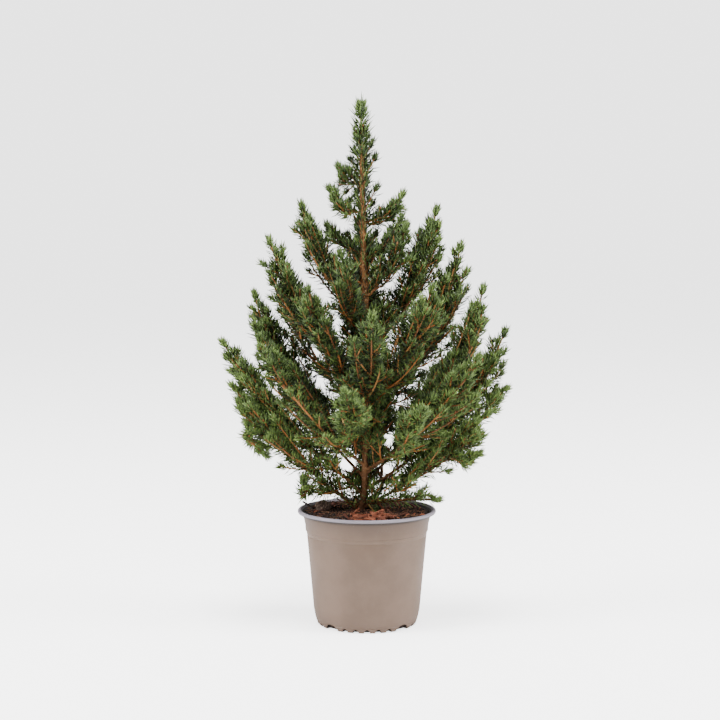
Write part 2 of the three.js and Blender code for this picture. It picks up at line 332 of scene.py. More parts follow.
def blended(material, mask, first, second):
    """A colour that goes from the first to the second as the mask rises."""
    blend = add_node(material.node_tree, "Mix", data_type="RGBA")
    material.node_tree.links.new(mask, blend.inputs["Factor"])
    set_or_link(material, blend.inputs["A"], first)
    set_or_link(material, blend.inputs["B"], second)
    return blend.outputs["Result"]


def finish_material(material, colour, grain, bump, distance):
    """Links colour, roughness and a bump from the grain's height to the shader."""
    tree = material.node_tree
    shader = tree.nodes["Principled BSDF"]
    relief = add_node(tree, "Bump")
    relief.inputs["Strength"].default_value = bump
    relief.inputs["Distance"].default_value = distance
    wire(tree, (grain, "Height", relief, "Height"), (relief, "Normal", shader, "Normal"),
         (grain, "Roughness", shader, "Roughness"))
    tree.links.new(colour, shader.inputs["Base Color"])
    return material


print("helpers for materials ready")

# %% [markdown]
# ## The pot
#
# The real pot is injection moulded from recycled plastic: a thin tapered wall, a stiffening
# band under a rolled lip, and a row of drainage openings cut into the foot. It could be turned
# from a drawn profile, but here a disc is extruded ring by ring, up the outside, over the lip
# and down the inside, because each step can then be read as one line of the table. A point
# of the profile is a radius and a height in millimetres, worked out from the pot's box.

# %% The pot's profile
pot_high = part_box("pot")[1]
POT_TOP = pot_high[2] / MM
RIM = pot_high[0] / MM
LIP = 4.0
WALL = 1.3
FLOOR = 1.6
SKIRT = 15.0
BAND_FOOT = POT_TOP - 20
LINE = BAND_FOOT - 4
UNDER_LIP = POT_TOP - LIP
foot_radius = RIM - 18.6
skirt_radius = RIM - 15
wall_top = RIM - 8.4
band_top = RIM - 5


def taper(height):
    """Outer radius of the plain wall at a height."""
    share = (height - SKIRT) / (BAND_FOOT - SKIRT)
    return skirt_radius + share * (wall_top - skirt_radius)


LIP_TURNS = (-75, -45, -10, 25, 60, 90, 125, 165)
lip_middle = (RIM - LIP / 2 + 0.2, POT_TOP - LIP / 2 + 0.1)
lip = [(lip_middle[0] + 1.8 * math.cos(math.radians(turn)),
        lip_middle[1] + 1.9 * math.sin(math.radians(turn))) for turn in LIP_TURNS]
foot = [(foot_radius + out, height) for out, height in
        ((-1.2, 0), (0, 0.9), (1.3, 4.4), (1.05, 4.8), (1.65, 5.6), (2.7, 10))]
wall = [(taper(height) + out, height) for out, height in
        ((0, SKIRT), (0, 38), (0, 60), (0, LINE - 0.7), (-0.35, LINE), (0.1, LINE + 0.7),
         (0, BAND_FOOT - 0.5))]
band = [(wall_top + 0.9, BAND_FOOT + 0.3), (wall_top + 1.4, BAND_FOOT + 6),
        (band_top, UNDER_LIP - 0.8), (band_top + 0.5, UNDER_LIP - 0.1)]
inside = [(band_top - WALL + 0.6, UNDER_LIP), (wall_top - WALL, BAND_FOOT),
          (skirt_radius - WALL, SKIRT), (foot_radius - WALL, FLOOR)]
pot_profile = foot + wall + band + lip + inside
print(len(pot_profile), "rings, rim", round(2 * RIM), "mm across,", round(POT_TOP), "mm high")

# %% [markdown]
# ## From a disc to a pot
#
# Each step of the profile is one extrude, straight up or down, and one resize about the axis.
# Ninety-six sides keep the rim round, and the closed disc at the start is the pot's underside.

# %% Turning a disc into the pot
def extrude_ring(now, following):
    """Lifts the selected face by one step of a profile and widens it to the next radius."""
    rise = (following[1] - now[1]) * MM
    widen = following[0] / now[0]
    bpy.ops.mesh.extrude_region_move(TRANSFORM_OT_translate={"value": (0, 0, rise)})
    bpy.ops.transform.resize(value=(widen, widen, 1), center_override=(0, 0, following[1] * MM))


def extruded_body(name, profile, sides):
    """A closed body of revolution, extruded ring by ring from a disc."""
    clear_selection()
    radius, height = profile[0]
    bpy.ops.mesh.primitive_circle_add(vertices=sides, radius=radius * MM, fill_type="NGON",
                                      location=(0, 0, height * MM))
    body = finished(name)
    start_editing()
    for now, following in zip(profile, profile[1:]):
        extrude_ring(now, following)
    close_body()
    return body


POT_SIDES = 96
pot = extruded_body("pot_shell", pot_profile, POT_SIDES)
print(pot.name, len(pot.data.polygons), "faces")

# %% [markdown]
# ## Drainage openings
#
# Water leaves the pot through two kinds of half-round openings at its foot: a wide one at each
# corner of the pattern and five small ones between. A short cylinder laid on its side and
# flattened is the right cutter for both. It is modelled once in each size and copied round.

# %% Cutting the openings
WIDE_OPENINGS = (15.5, 5.6, (45,))
SMALL_OPENINGS = (5.5, 3.8, (-26, -13, 0, 13, 26))
CUT_START = foot_radius - 6
CUT_LENGTH = 11.0
QUARTERS = 4
SOFT_EDGE = 0.3 * MM


def opening_cutter(width, height, angle):
    """A flattened cylinder that lies on its side and points out from the pot's axis."""
    clear_selection()
    turn = math.radians(angle)
    reach = (CUT_START + CUT_LENGTH / 2) * MM
    bpy.ops.mesh.primitive_cylinder_add(vertices=24, radius=width * MM / 2, depth=CUT_LENGTH * MM)
    cutter = bpy.context.object
    cutter.rotation_euler = (0, math.radians(90), turn)
    cutter.location = (reach * math.cos(turn), reach * math.sin(turn), 0)
    cutter.scale = (2 * height / width, 1, 1)
    return finished("cutter")


cutters = [opening_cutter(width, height, angle + 90 * quarter - 90)
           for width, height, angles in (WIDE_OPENINGS, SMALL_OPENINGS)
           for quarter in range(QUARTERS) for angle in angles]
for cutter in cutters:
    cutter.select_set(True)
bpy.ops.object.join()
cutter = bpy.context.object
apply_modifier(pot, "BOOLEAN", operation="DIFFERENCE", solver="EXACT", object=cutter)
bpy.data.objects.remove(cutter)
apply_modifier(pot, "BEVEL", width=SOFT_EDGE, segments=2, limit_method="ANGLE",
               angle_limit=math.radians(50))
smooth_to(pot, 35)
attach(pot, "root")
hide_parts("pot")
print(pot.name, len(pot.data.polygons), "faces after", len(cutters), "openings")

# %% [markdown]
# ## Recycled plastic
#
# The plastic is a warm grey brown. Old colours that were melted together leave faint clouds and
# a few darker specks. The wall has a dull skin. The lip's top is a paler, greyer band of painted
# highlight, and painted shade darkens the collar towards the lip, with a painted shadow right
# under it. Painted shade also darkens the rim's inner side and the insides of the drain openings.

# %% Plastic of the pot
SHADE_FADE = 0.6
DRAIN_TOP = 7.0
PLASTIC_DARK, PLASTIC_LIGHT = (0.113, 0.071, 0.048), (0.136, 0.087, 0.060)
# Painted light on the pot: shade on the collar, a shadow under the lip, a highlight on its top.
PAINTED_COLLAR_SHADE, PAINTED_LIP_SHADOW, PAINTED_LIP_HIGHLIGHT = (0.072, 0.043, 0.029), (0.012, 0.007, 0.005), (0.190, 0.170, 0.196)
# Painted shade for the insides of the drain openings and for the rim's inner side.
PAINTED_DRAIN_SHADE, PAINTED_RIM_SHADE = (0.016, 0.010, 0.007), (0.020, 0.012, 0.008)


def inner_mask(material, reach, start, end):
    """1 nearer to the pot's axis than a reach and past two heights, in millimetres."""
    tree = material.node_tree
    flat = add_node(tree, "VectorMath", operation="MULTIPLY")
    flat.inputs[1].default_value = (1, 1, 0)
    radius = add_node(tree, "VectorMath", operation="LENGTH")
    inside = add_node(tree, "MapRange")
    inside.inputs["From Min"].default_value = reach * MM
    inside.inputs["From Max"].default_value = (reach - SHADE_FADE) * MM
    both = add_node(tree, "Math", operation="MULTIPLY")
    tree.links.new(height_mask(material, start * MM, end * MM), both.inputs[1])
    places = add_node(tree, "TexCoord")
    wire(tree, (places, "Object", flat, 0), (flat, "Vector", radius, 0),
         (radius, "Value", inside, "Value"), (inside, "Result", both, 0))
    return both.outputs["Value"]


def painted_band(material, bottom, top, under, colour):
    """Paints light or shade over a colour, from the bottom height to the top one and above."""
    return blended(material, height_mask(material, bottom * MM, top * MM), under, colour)


plastic = plain_material("recycled_plastic", PLASTIC_LIGHT, 0.55, 0.4)
wall_places = surface_places(plastic)
clouds = place_group(plastic, CLOUDED, wall_places, First=PLASTIC_DARK, Second=PLASTIC_LIGHT,
                     Patches_Per_Metre=38.0, Contrast=0.22)
# Painted shade: the collar darkens towards the lip, which keeps the light from it.
collar_shaded = painted_band(plastic, BAND_FOOT, UNDER_LIP, clouds.outputs["Color"], PAINTED_COLLAR_SHADE)
# Painted shadow: a sharp dark line just under the lip.
lip_shadowed = painted_band(plastic, UNDER_LIP - 2.4, UNDER_LIP, collar_shaded, PAINTED_LIP_SHADOW)
# Painted highlight: the top of the lip is paler and greyer, for the pale studio it reflects.
lip_highlighted = painted_band(plastic, UNDER_LIP + 0.9, UNDER_LIP + 1.7, lip_shadowed, PAINTED_LIP_HIGHLIGHT)
# Painted shade inside the drain openings, where the wall keeps the light out.
drain_shaded = blended(plastic, inner_mask(plastic, foot_radius - 1.0, DRAIN_TOP, DRAIN_TOP - 1),
                  lip_highlighted, PAINTED_DRAIN_SHADE)
# Painted shade on the rim's inner side, and a painted shadow line just under the lip.
rim_shaded = blended(plastic, inner_mask(plastic, band_top + 1.2, UNDER_LIP - 0.6, UNDER_LIP),
                 drain_shaded, PAINTED_RIM_SHADE)
specks = place_group(plastic, SPECKLED, wall_places, Color=rim_shaded, Dots=(0.11, 0.082, 0.066),
                     Dots_Per_Metre=330.0, Share=0.10)
skin_grain = place_group(plastic, GRAIN, wall_places, Grains_Per_Metre=1300.0, Smooth=0.42,
                         Rough=0.68)
finish_material(plastic, specks.outputs["Color"], skin_grain, 0.18, 0.3 * MM)
pot.data.materials.clear()
pot.data.materials.append(plastic)
print("plastic", len(plastic.node_tree.nodes), "nodes")

# %% [markdown]
# ## Reading the limbs
#
# A bough in the frame is a tapering tube, so its middle is found by slicing its corners along
# the line from one end to the other and taking the middle of each slice. The trunk is sliced
# by height. Curves are then drawn through those middles and walked at an even step.

# %% Lines of the trunk and boughs
CURVE_STEPS = 16
RING_GAP = 1.5 * MM
LIMB_STEP = 1.5 * MM
BOUGH_SLICES = (0.15, 0.37, 0.62, 0.87, 1.1)


def corners(node):
    """Every place where the node's solid has a corner, once."""
    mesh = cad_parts[node].data
    points = np.empty(3 * len(mesh.vertices))
    mesh.vertices.foreach_get("co", points)
    return np.unique(points.reshape(-1, 3).round(6), axis=0)


def unit(vectors):
    return vectors / np.maximum(np.linalg.norm(vectors, axis=-1, keepdims=True), 1e-12)


def lengths_along(points):
    steps = np.linalg.norm(np.diff(points, axis=0), axis=1)
    return np.concatenate(([0.0], np.cumsum(steps)))


def walk(points, step):
    """Draws a smooth curve through the points and returns places along it at an even step."""
    padded = np.vstack((2 * points[0] - points[1], points, 2 * points[-1] - points[-2]))
    t = np.linspace(0, 1, CURVE_STEPS, endpoint=False)[:, None]
    curve = []
    for a, b, c, d in zip(padded, padded[1:], padded[2:], padded[3:]):
        curve.append(0.5 * (2 * b + (c - a) * t + (2 * a - 5 * b + 4 * c - d) * t ** 2
                            + (3 * b - a - 3 * c + d) * t ** 3))
    curve = np.vstack((*curve, points[-1:]))
    along = lengths_along(curve)
    count = max(3, int(round(along[-1] / step)) + 1)
    even = np.linspace(0, along[-1], count)
    return np.column_stack([np.interp(even, along, curve[:, axis]) for axis in range(3)])


def slices(points, share, edges):
    """Middles of the slices between the edges, which are shares of the whole length."""
    cuts = [(share >= low) & (share <= high) for low, high in zip(edges, edges[1:])]
    return np.array([points[cut].mean(axis=0) for cut in cuts if cut.any()])


def trunk_rings():
    """Middle and radius of each ring of the trunk, from its foot up."""
    points = corners("trunk")
    points = points[np.argsort(points[:, 2])]
    gaps = np.flatnonzero(np.diff(points[:, 2]) > RING_GAP) + 1
    rings = np.split(points, gaps)
    middles = np.array([ring.mean(axis=0) for ring in rings])
    radii = [np.linalg.norm(ring - middle, axis=1).max() for ring, middle in zip(rings, middles)]
    return middles, np.array(radii)


ring_middles, ring_radii = trunk_rings()
trunk_line = walk(ring_middles, LIMB_STEP)


def trunk_place(height):
    """The middle of the trunk at a height."""
    return np.array([np.interp(height, trunk_line[:, 2], trunk_line[:, axis]) for axis in range(3)])


def bough_line(node):
    """From the trunk's middle to the bough's far end."""
    points = corners(node)
    out = np.linalg.norm(points[:, :2] - trunk_place(points[:, 2].mean())[:2], axis=1)
    near, far = points[out.argmin()], points[out.argmax()]
    share = (points - near) @ unit(far - near) / np.linalg.norm(far - near)
    middles = slices(points, share, BOUGH_SLICES)
    slope = middles[0] - middles[1]
    run = np.linalg.norm(middles[0][:2] - trunk_place(middles[0][2])[:2])
    foot = middles[0] + slope * run / max(np.linalg.norm(slope[:2]), 1e-6)
    return np.vstack((trunk_place(foot[2]), middles))


bough_nodes = [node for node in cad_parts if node.startswith("bough_")]
boughs = {node.removeprefix("bough_"): bough_line(node) for node in bough_nodes}
print(len(boughs), "boughs read, trunk", round(lengths_along(trunk_line)[-1] / MM), "mm long")

# %% [markdown]
# ## Carrying the limbs on through the foliage
#
# Inside its mass a bough runs on to the tip. The tip is the mass's corner that lies farthest
# from where the bough enters, and the line bends through the middle of the mass. A mass with
# no bough of its own starts on the nearest limb that is already there.

# %% Lines through the masses
TIP_TUFT = 3 * MM
LEADER_TUFT = 7 * MM
MIDDLE_PART = (0.3, 0.7)
KNEE_PULL = 1.4
FREE_START = 0.25


def mass_line(node, heel):
    """A curve from the heel through the mass's middle to its furthest corner."""
    points = corners(node)
    tip = points[np.linalg.norm(points - heel, axis=1).argmax()]
    tip = tip - TIP_TUFT * unit(tip - heel)
    span = tip - heel
    share = (points - heel) @ span / (span @ span)
    middle = points[(share > MIDDLE_PART[0]) & (share < MIDDLE_PART[1])]
    chord = (heel + tip) / 2
    knee = chord + KNEE_PULL * (middle.mean(axis=0) - chord)
    t = np.linspace(0, 1, 7)[:, None]
    return (1 - t) ** 2 * heel + 2 * t * (1 - t) * knee + t ** 2 * tip


def nearest(lines, place):
    """The point on any of the lines that lies nearest to a place."""
    every = np.vstack(lines)
    return every[np.linalg.norm(every - place, axis=1).argmin()]


def parents_of(name):
    """The limbs that a mass without a bough of its own may start from."""
    if "skirt_left" in name:
        return [limbs["low_left"]]
    return [limbs["leader"]] if "leader" in name or "skirt" in name else list(limbs.values())


def skin(node):
    """The mass's surface, for finding how far it is from a point inside."""
    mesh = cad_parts[node].data
    places = [vertex.co for vertex in mesh.vertices]
    return BVHTree.FromPolygons(places, [tuple(face.vertices) for face in mesh.polygons])


foliage_nodes = [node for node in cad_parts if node.startswith("foliage_")]
masses = [node.removeprefix("foliage_") for node in foliage_nodes]
limbs = {}
leafy = {}
leader_corners = corners("foliage_leader")
leader_top = leader_corners[leader_corners[:, 2].argmax()] - LEADER_TUFT * UP
limbs["leader"] = walk(np.vstack((trunk_line[:-1:12], leader_top)), LIMB_STEP)
leafy["leader"] = np.interp(leader_corners[:, 2].min(), limbs["leader"][:, 2],
                            lengths_along(limbs["leader"]))
for name, line in boughs.items():
    through = mass_line(f"foliage_{name}", line[-1])
    limbs[name] = walk(np.vstack((line, through[1:])), LIMB_STEP)
    leafy[name] = lengths_along(line)[-1]
for name in masses:
    if name not in limbs:
        points = corners(f"foliage_{name}")
        tried = points[::3]
        gaps = [np.linalg.norm(points - nearest(parents_of(name), place), axis=1).min()
                for place in tried]
        heel = tried[int(np.argmin(gaps))]
        start = nearest(parents_of(name), heel - 0.3 * np.linalg.norm(heel) * MM * UP)
        line = np.vstack((start, mass_line(f"foliage_{name}", heel)))
        limbs[name] = walk(line, LIMB_STEP)
        leafy[name] = FREE_START * np.linalg.norm(heel - start)
whole = sum(lengths_along(line)[-1] for line in limbs.values())
print(len(limbs), "limbs, together", round(whole, 2), "m")

# %% [markdown]
# ## How a spruce branches
#
# A dwarf spruce makes long straight shoots that leave their limb at a narrow angle and soon
# run beside it, so every bough ends in a sheaf of spires. They leave in a spiral, each about
# 137.5 degrees round from the last. First come the measures that every rule needs: a place on
# a line, a direction that leans away from it, and how deep a place lies inside its mass.

# %% Measuring along a limb
rng = np.random.default_rng(20)
GOLDEN_TURN = math.radians(137.5)
ANY_TURN = (0, 6.28)
shoots = []


def across(tangent, turn):
    """A unit vector square to the tangent, turned about it from the side that faces up."""
    side = unit(np.cross(tangent, UP) + np.array((1e-6, 0, 0)))
    lift = np.cross(side, tangent)
    return math.cos(turn) * side + math.sin(turn) * lift


def leaning(tangent, turn, angles):
    """A direction that leans away from the tangent by an angle between two, in degrees."""
    lean = math.radians(rng.uniform(*angles))
    return math.cos(lean) * tangent + math.sin(lean) * across(tangent, turn)


def depth(mass_skin, place):
    """How deep a place lies inside a mass, or less than 0 outside it."""
    near, facing, _, gap = mass_skin.find_nearest(Vector(place))
    return -gap if (Vector(place) - near).dot(facing) > 0 else gap


def at(line, place):
    """The place and direction at a length along a line, or straight on past its end."""
    along = lengths_along(line)
    index = min(int(np.searchsorted(along, place)), len(line) - 2)
    tangent = unit(line[index + 1] - line[index])
    return line[index] + tangent * (place - along[index]), tangent


def keep_shoot(points, order, old=False):
    shoots.append({"points": points, "length": lengths_along(points)[-1],
                   "order": order, "old": old})
    return shoots[-1]


print("spiral of", round(math.degrees(GOLDEN_TURN), 1), "degrees")

# %% [markdown]
# ## Three kinds of shoot
#
# A long shoot bends round to run beside its limb, as near to the mass's surface as its own
# needles allow. A short one sets off at its angle and slowly turns towards the light. Both may
# branch again, left and right in turn, with side shoots that get shorter towards the tip.

# %% Growing a shoot
SHOOT_STEP = 4 * MM
WANDER = 0.02
SHEAF_GAP = 27 * MM
GAP_WIDTHS = (0.75, 1.0)
GAP_SHARE = 0.4
LEAST_GAP = 5 * MM
GAP_STEP = 1.5 * MM
GAP_KEPT = (0.6, 1.1)
KNEE_PLACES = (0.3, 0.45)
KNEE_BOW = 0.8
UNEVEN = (0.7, 1.3)
NEEDLE_ROOM = 2 * MM
SIDE_ANGLES = (30, 44)
BARE_END = 12 * MM


def grow(foot, direction, length, aim, bend, mass_skin=None, order=2, old=False):
    """Grows a short shoot that turns towards its aim, and stops where it leaves its mass."""
    count = max(2, int(round(length / SHOOT_STEP)))
    points = [foot]
    for step in range(count):
        direction = unit(direction + aim * bend / count + rng.normal(0, WANDER, 3))
        points.append(points[-1] + direction * length / count)
        if mass_skin and step > 1 and depth(mass_skin, points[-1]) < 0:
            break
    return keep_shoot(np.array(points), order, old)


def run_beside(line, place, reach, turn, mass_skin):
    """A long shoot that leaves its limb and bends round to run beside it."""
    foot, _ = at(line, place)
    beside, heading = at(line, place + reach)
    gap = min(rng.uniform(*GAP_WIDTHS) * SHEAF_GAP, GAP_SHARE * reach)
    while gap > LEAST_GAP and depth(mass_skin, beside + gap * across(heading, turn)) < NEEDLE_ROOM:
        gap -= GAP_STEP
    gap = gap * rng.uniform(*GAP_KEPT)
    tip = beside + gap * across(heading, turn)
    middle, direction = at(line, place + rng.uniform(*KNEE_PLACES) * reach)
    knee = middle + KNEE_BOW * gap * across(direction, turn) + rng.normal(0, 1.5, 3) * MM
    t = np.linspace(0, 1, 9)[:, None]
    curve = (1 - t) ** 2 * foot + 2 * t * (1 - t) * knee + t ** 2 * tip
    return keep_shoot(walk(curve, SHOOT_STEP), 2)


def branch_again(parent, spacing, longest, mass_skin=None, old=False):
    """Side shoots of a shoot, left and right in turn."""
    points, length = parent["points"], parent["length"]
    place = 0.15 * length + rng.uniform(0, 6) * MM
    side = rng.choice((0, 1))
    while place < length - BARE_END:
        foot, tangent = at(points, place)
        turn = math.pi * side + rng.normal(0.25, 0.6)
        heading = leaning(tangent, turn, SIDE_ANGLES)
        reach = min(0.45 * (length - place) + rng.uniform(3, 8) * MM, longest)
        grow(foot, heading, reach, unit(tangent + UP), 0.3, mass_skin, 3, old)
        side = 1 - side
        place += spacing * rng.uniform(*UNEVEN)


print("steps of", round(SHOOT_STEP / MM), "mm")

# %% [markdown]
# ## Where light comes through
#
# A crown is never closed. Its trunk shows in two stretches, low down between the first boughs
# and high up under the leader, and there are a few gaps with nothing in them. So a shoot is
# left out where it would cross in front of those stretches, fill a gap, or lie on the compost.

# %% Gaps and bare stretches
BARE_STRETCHES = ((0.118, 0.168), (0.295, 0.425))
CROWN_GAPS = ((-17.5, 151, 8), (17, 144, 7), (22, 172, 5.5), (-44, 223, 5), (-48, 256, 6))
DROOP = 0.117
FOOT_REACH = 18 * MM
STARTS_BEFORE = 8 * MM
CROSSES_BEFORE = 6.5 * MM
IN_FRONT = 3 * MM


def beside_bare_trunk(place):
    """How far a place is from the trunk to the side, or None where the trunk isn't bare."""
    bare = any(low < place[2] < high for low, high in BARE_STRETCHES)
    return abs(place[0] - trunk_place(place[2])[0]) if bare else None


def before_the_trunk(foot, heading):
    """True for a shoot that sets off in front of a bare stretch of the trunk."""
    gap = beside_bare_trunk(foot)
    return gap is not None and gap < STARTS_BEFORE and heading[1] < -0.2


def hides_the_trunk(shoot):
    """True where a shoot crosses in front of a bare stretch of the trunk."""
    for place in shoot["points"]:
        gap = beside_bare_trunk(place)
        if gap is not None and gap < CROSSES_BEFORE:
            if place[1] < trunk_place(place[2])[1] - IN_FRONT:
                return True
    return False


def in_a_gap(places):
    """True for places inside one of the gaps, given as a centre and a radius from the front."""
    inside = np.zeros(len(places), bool)
    for x, height, radius in CROWN_GAPS:
        inside |= np.hypot(places[:, 0] - x * MM, places[:, 2] - height * MM) < radius * MM
    return inside


def lies_on_the_compost(shoot):
    """True for a shoot that droops on to the compost away from the trunk."""
    return any(place[2] < DROOP and abs(place[0] - trunk_place(place[2])[0]) > FOOT_REACH
               for place in shoot["points"])


print(len(CROWN_GAPS), "gaps and", len(BARE_STRETCHES), "bare stretches of trunk")

# %% [markdown]
# ## Clothing the limbs
#
# Young shoots fill the masses. Behind them the older wood isn't bare: short shaded shoots with
# long needles stand out from the boughs and the trunk, and water shoots, which sprout straight
# from the trunk, fill the space between the low boughs. The leader has short side shoots that
# get shorter towards its tip.

# %% Rules for a mass, the leader and the shaded wood
LONGEST_SHOOT = 115 * MM
SHOOT_SHARES = (0.42, 0.86)
SHEAF_END = 0.72
SHEAF_SPACING = 5.8 * MM
SIDE_SPACING = 42 * MM
LONGEST_SIDE = 26 * MM
FILL_SPACING = 15 * MM
LONGEST_FILL = 30 * MM
A_LITTLE_UNEVEN = (0.75, 1.25)
THIN_SKIRT = 2.4
LEADER_SPACING = 3.8 * MM
BARE_TOP = 26 * MM
LEADER_LEFT = (BARE_TOP, 75 * MM, 150 * MM)
LEADER_REACH = (9 * MM, 24 * MM, 30 * MM)
WORTH_BRANCHING = 20 * MM
OLD_SPACING = 11 * MM


def next_turn(turn, spread=0.25):
    return turn + GOLDEN_TURN + rng.normal(0, spread)


def clothe(name):
    """A sheaf of long shoots beside the limb, and short ones between them."""
    line = limbs[name]
    total = lengths_along(line)[-1]
    mass_skin = skin(f"foliage_{name}")
    turn = rng.uniform(*ANY_TURN)
    thin = THIN_SKIRT if "skirt" in name else 1.0
    place = leafy[name] - 4 * MM
    while place < leafy[name] + SHEAF_END * (total - leafy[name]):
        reach = min((total - place) * rng.uniform(*SHOOT_SHARES), LONGEST_SHOOT)
        shoot = run_beside(line, place, reach, turn, mass_skin)
        branch_again(shoot, SIDE_SPACING, LONGEST_SIDE, mass_skin)
        turn = next_turn(turn)
        place += SHEAF_SPACING * thin * rng.uniform(*A_LITTLE_UNEVEN)
    place = leafy[name] + 3 * MM
    while place < total - 14 * MM:
        foot, tangent = at(line, place)
        heading = leaning(tangent, turn, (34, 50))
        reach = min(0.5 * (total - place), LONGEST_FILL) * rng.uniform(0.6, 1.0) + 5 * MM
        grow(foot, heading, reach, tangent, 0.4, mass_skin)
        turn = next_turn(turn)
        place += FILL_SPACING * thin * rng.uniform(*A_LITTLE_UNEVEN)


def clothe_leader(line, start):
    """Side shoots that get shorter towards the top, where the leader is bare of them."""
    total = lengths_along(line)[-1]
    turn = rng.uniform(*ANY_TURN)
    place = start
    while place < total - BARE_TOP:
        foot, tangent = at(line, place)
        heading = leaning(tangent, turn, SIDE_ANGLES)
        reach = np.interp(total - place, LEADER_LEFT, LEADER_REACH)
        if not before_the_trunk(foot, heading):
            grow(foot, heading, reach * rng.uniform(0.8, 1.15), UP, 0.45)
        turn = next_turn(turn)
        place += LEADER_SPACING * rng.uniform(*UNEVEN)


def clothe_inside(line, start, end, spacing):
    """Shorter shoots on the older, shaded stretch of a limb."""
    turn = rng.uniform(*ANY_TURN)
    place = start
    while place < end:
        foot, tangent = at(line, place)
        heading = leaning(tangent, turn, (40, 62))
        if not before_the_trunk(foot, heading):
            shoot = grow(foot, heading, rng.uniform(18, 42) * MM, UP, 0.4, old=True)
            if shoot["length"] > WORTH_BRANCHING:
                branch_again(shoot, OLD_SPACING, 20 * MM, old=True)
        turn = next_turn(turn, 0.3)
        place += spacing * rng.uniform(*UNEVEN)


print("rules for", len(masses), "masses ready")

# %% Growing the crown
NEEDLED_FROM = 0.15
BOUGH_SPACING = 5.5 * MM
TRUNK_STRETCHES = ((12, 240, 4.5), (60, 190, 3.0), (5, 28, 1.7))
WATER_SHOOTS = np.linspace(0.155, 0.2, 14)
clothe_leader(limbs["leader"], leafy["leader"] - 8 * MM)
for name, line in limbs.items():
    if name != "leader":
        clothe(name)
    if name in boughs:
        clothe_inside(line, NEEDLED_FROM * leafy[name], leafy[name], BOUGH_SPACING)
for start, end, spacing in TRUNK_STRETCHES:
    clothe_inside(trunk_line, start * MM, end * MM, spacing * MM)
for height in WATER_SHOOTS:
    heading = leaning(UP, rng.uniform(*ANY_TURN), (30, 55))
    shoot = grow(trunk_place(height), heading, rng.uniform(35, 60) * MM, UP, 0.3, old=True)
    branch_again(shoot, OLD_SPACING, 22 * MM, old=True)
shoots = [shoot for shoot in shoots if not (hides_the_trunk(shoot) or lies_on_the_compost(shoot)
                                            or in_a_gap(shoot["points"]).any())]
print(len(shoots), "shoots,", round(sum(shoot["length"] for shoot in shoots), 1), "m in all")

# %% [markdown]
# ## Where the needles sit
#
# Needles leave a shoot in the same spiral, about nineteen to the centimetre. They stand well
# out on the older part, fold forward towards the tip, and end in a tuft of short ones. The
# underside of a shoot has few, and the gaps in the crown have none. Colour goes by spray, with
# painted shade: deep green inside the crown, lighter outside and with painted light near the
# ground, and a fresh green in the youngest tufts.

# %% Setting needles along a shoot
NEEDLE_LENGTH = 12.2 * MM
NEEDLE_WIDTH = 1.08 * MM
NEEDLE_SPACING = 0.52 * MM
UPWARDS = 0.14
FEW_BELOW = 0.35
TINTS = {
    "shade": (0.007, 0.014, 0.003),
    "deep": (0.020, 0.037, 0.006),
    "leaf": (0.045, 0.077, 0.013),
    "sage": (0.078, 0.122, 0.029),
    "light": (0.118, 0.178, 0.042),
    "fresh": (0.160, 0.240, 0.048),
}
needle_rows = {"foot": [], "heading": [], "length": [], "tint": []}


def on_line(points, along, places):
    return np.column_stack([np.interp(places, along, points[:, axis]) for axis in range(3)])


def set_needles(points, places, lean, length, tint, parted=True):
    """Sets needles in a spiral along a shoot. A parted shoot has few on its underside."""
    along = lengths_along(points)
    feet = on_line(points, along, places)
    ahead = on_line(points, along, np.minimum(places + 2 * MM, along[-1]))
    behind = on_line(points, along, np.maximum(places - 2 * MM, 0))
    tangent = unit(ahead - behind)
    side = unit(np.cross(tangent, UP) + np.array((1e-6, 0, 0)))
    lift = np.cross(side, tangent)
    count = len(places)
    turn = np.arange(count) * GOLDEN_TURN + rng.uniform(*ANY_TURN) + rng.normal(0, 0.25, count)
    out = np.cos(turn)[:, None] * side + np.sin(turn)[:, None] * lift
    heading = np.cos(lean)[:, None] * tangent + np.sin(lean)[:, None] * out + UPWARDS * UP
    kept = (np.sin(turn) > -0.3) | (rng.uniform(0, 1, count) < (FEW_BELOW if parted else 1.0))
    kept &= ~in_a_gap(feet + unit(heading) * (0.7 * length)[:, None])
    tint = np.clip(np.round(tint), 0, len(TINTS) - 1).astype(int)
    for key, row in zip(needle_rows, (feet, unit(heading), length, tint)):
        needle_rows[key].append(row[kept])


print(len(TINTS), "tints of green")

# %% Dressing a whole shoot
TIP_FOLD = 0.6
FOLDING = (0, 5 * MM, 12 * MM)
SHORTENING = (0, 6 * MM, 14 * MM)
YOUTH = (0, 5 * MM, 12 * MM, 40 * MM)
TUFT_LENGTH = 7
TUFT_ANGLE = 38
CREST_LENGTH = 14


def dress(points, start, spacing, shade, size, stand, tuft, parted=True):
    """Needles and the tuft at the tip. Shade counts up from the darkest tint."""
    total = lengths_along(points)[-1]
    places = np.arange(start, total, spacing)
    if len(places) < 2:
        return
    count = len(places)
    places = np.clip(places + rng.uniform(-0.3, 0.3, count) * spacing, 0, total)
    to_tip = total - places
    folded = np.interp(to_tip, FOLDING, (TIP_FOLD, (1 + TIP_FOLD) / 2, 1))
    lean = np.radians(stand * folded) + rng.normal(0, 0.12, count)
    length = NEEDLE_LENGTH * size * np.interp(to_tip, SHORTENING, (0.66, 0.84, 1.0))
    young = np.interp(to_tip, YOUTH, (1.4, 0.9, 0.3, -0.3))
    tint = shade + young + rng.normal(0, 1.25, count)
    set_needles(points, places, lean, length * rng.uniform(0.75, 1.12, count), tint, parted)
    places = total - rng.uniform(0, TUFT_LENGTH, tuft) * MM
    lean = np.radians(TUFT_ANGLE * np.sqrt(rng.uniform(0, 1, tuft)))
    length = 0.88 * NEEDLE_LENGTH * size * rng.uniform(0.75, 1.1, tuft) * np.cos(lean)
    set_needles(points, places, lean, length, shade + 1.0 + rng.normal(0, 0.9, tuft), False)


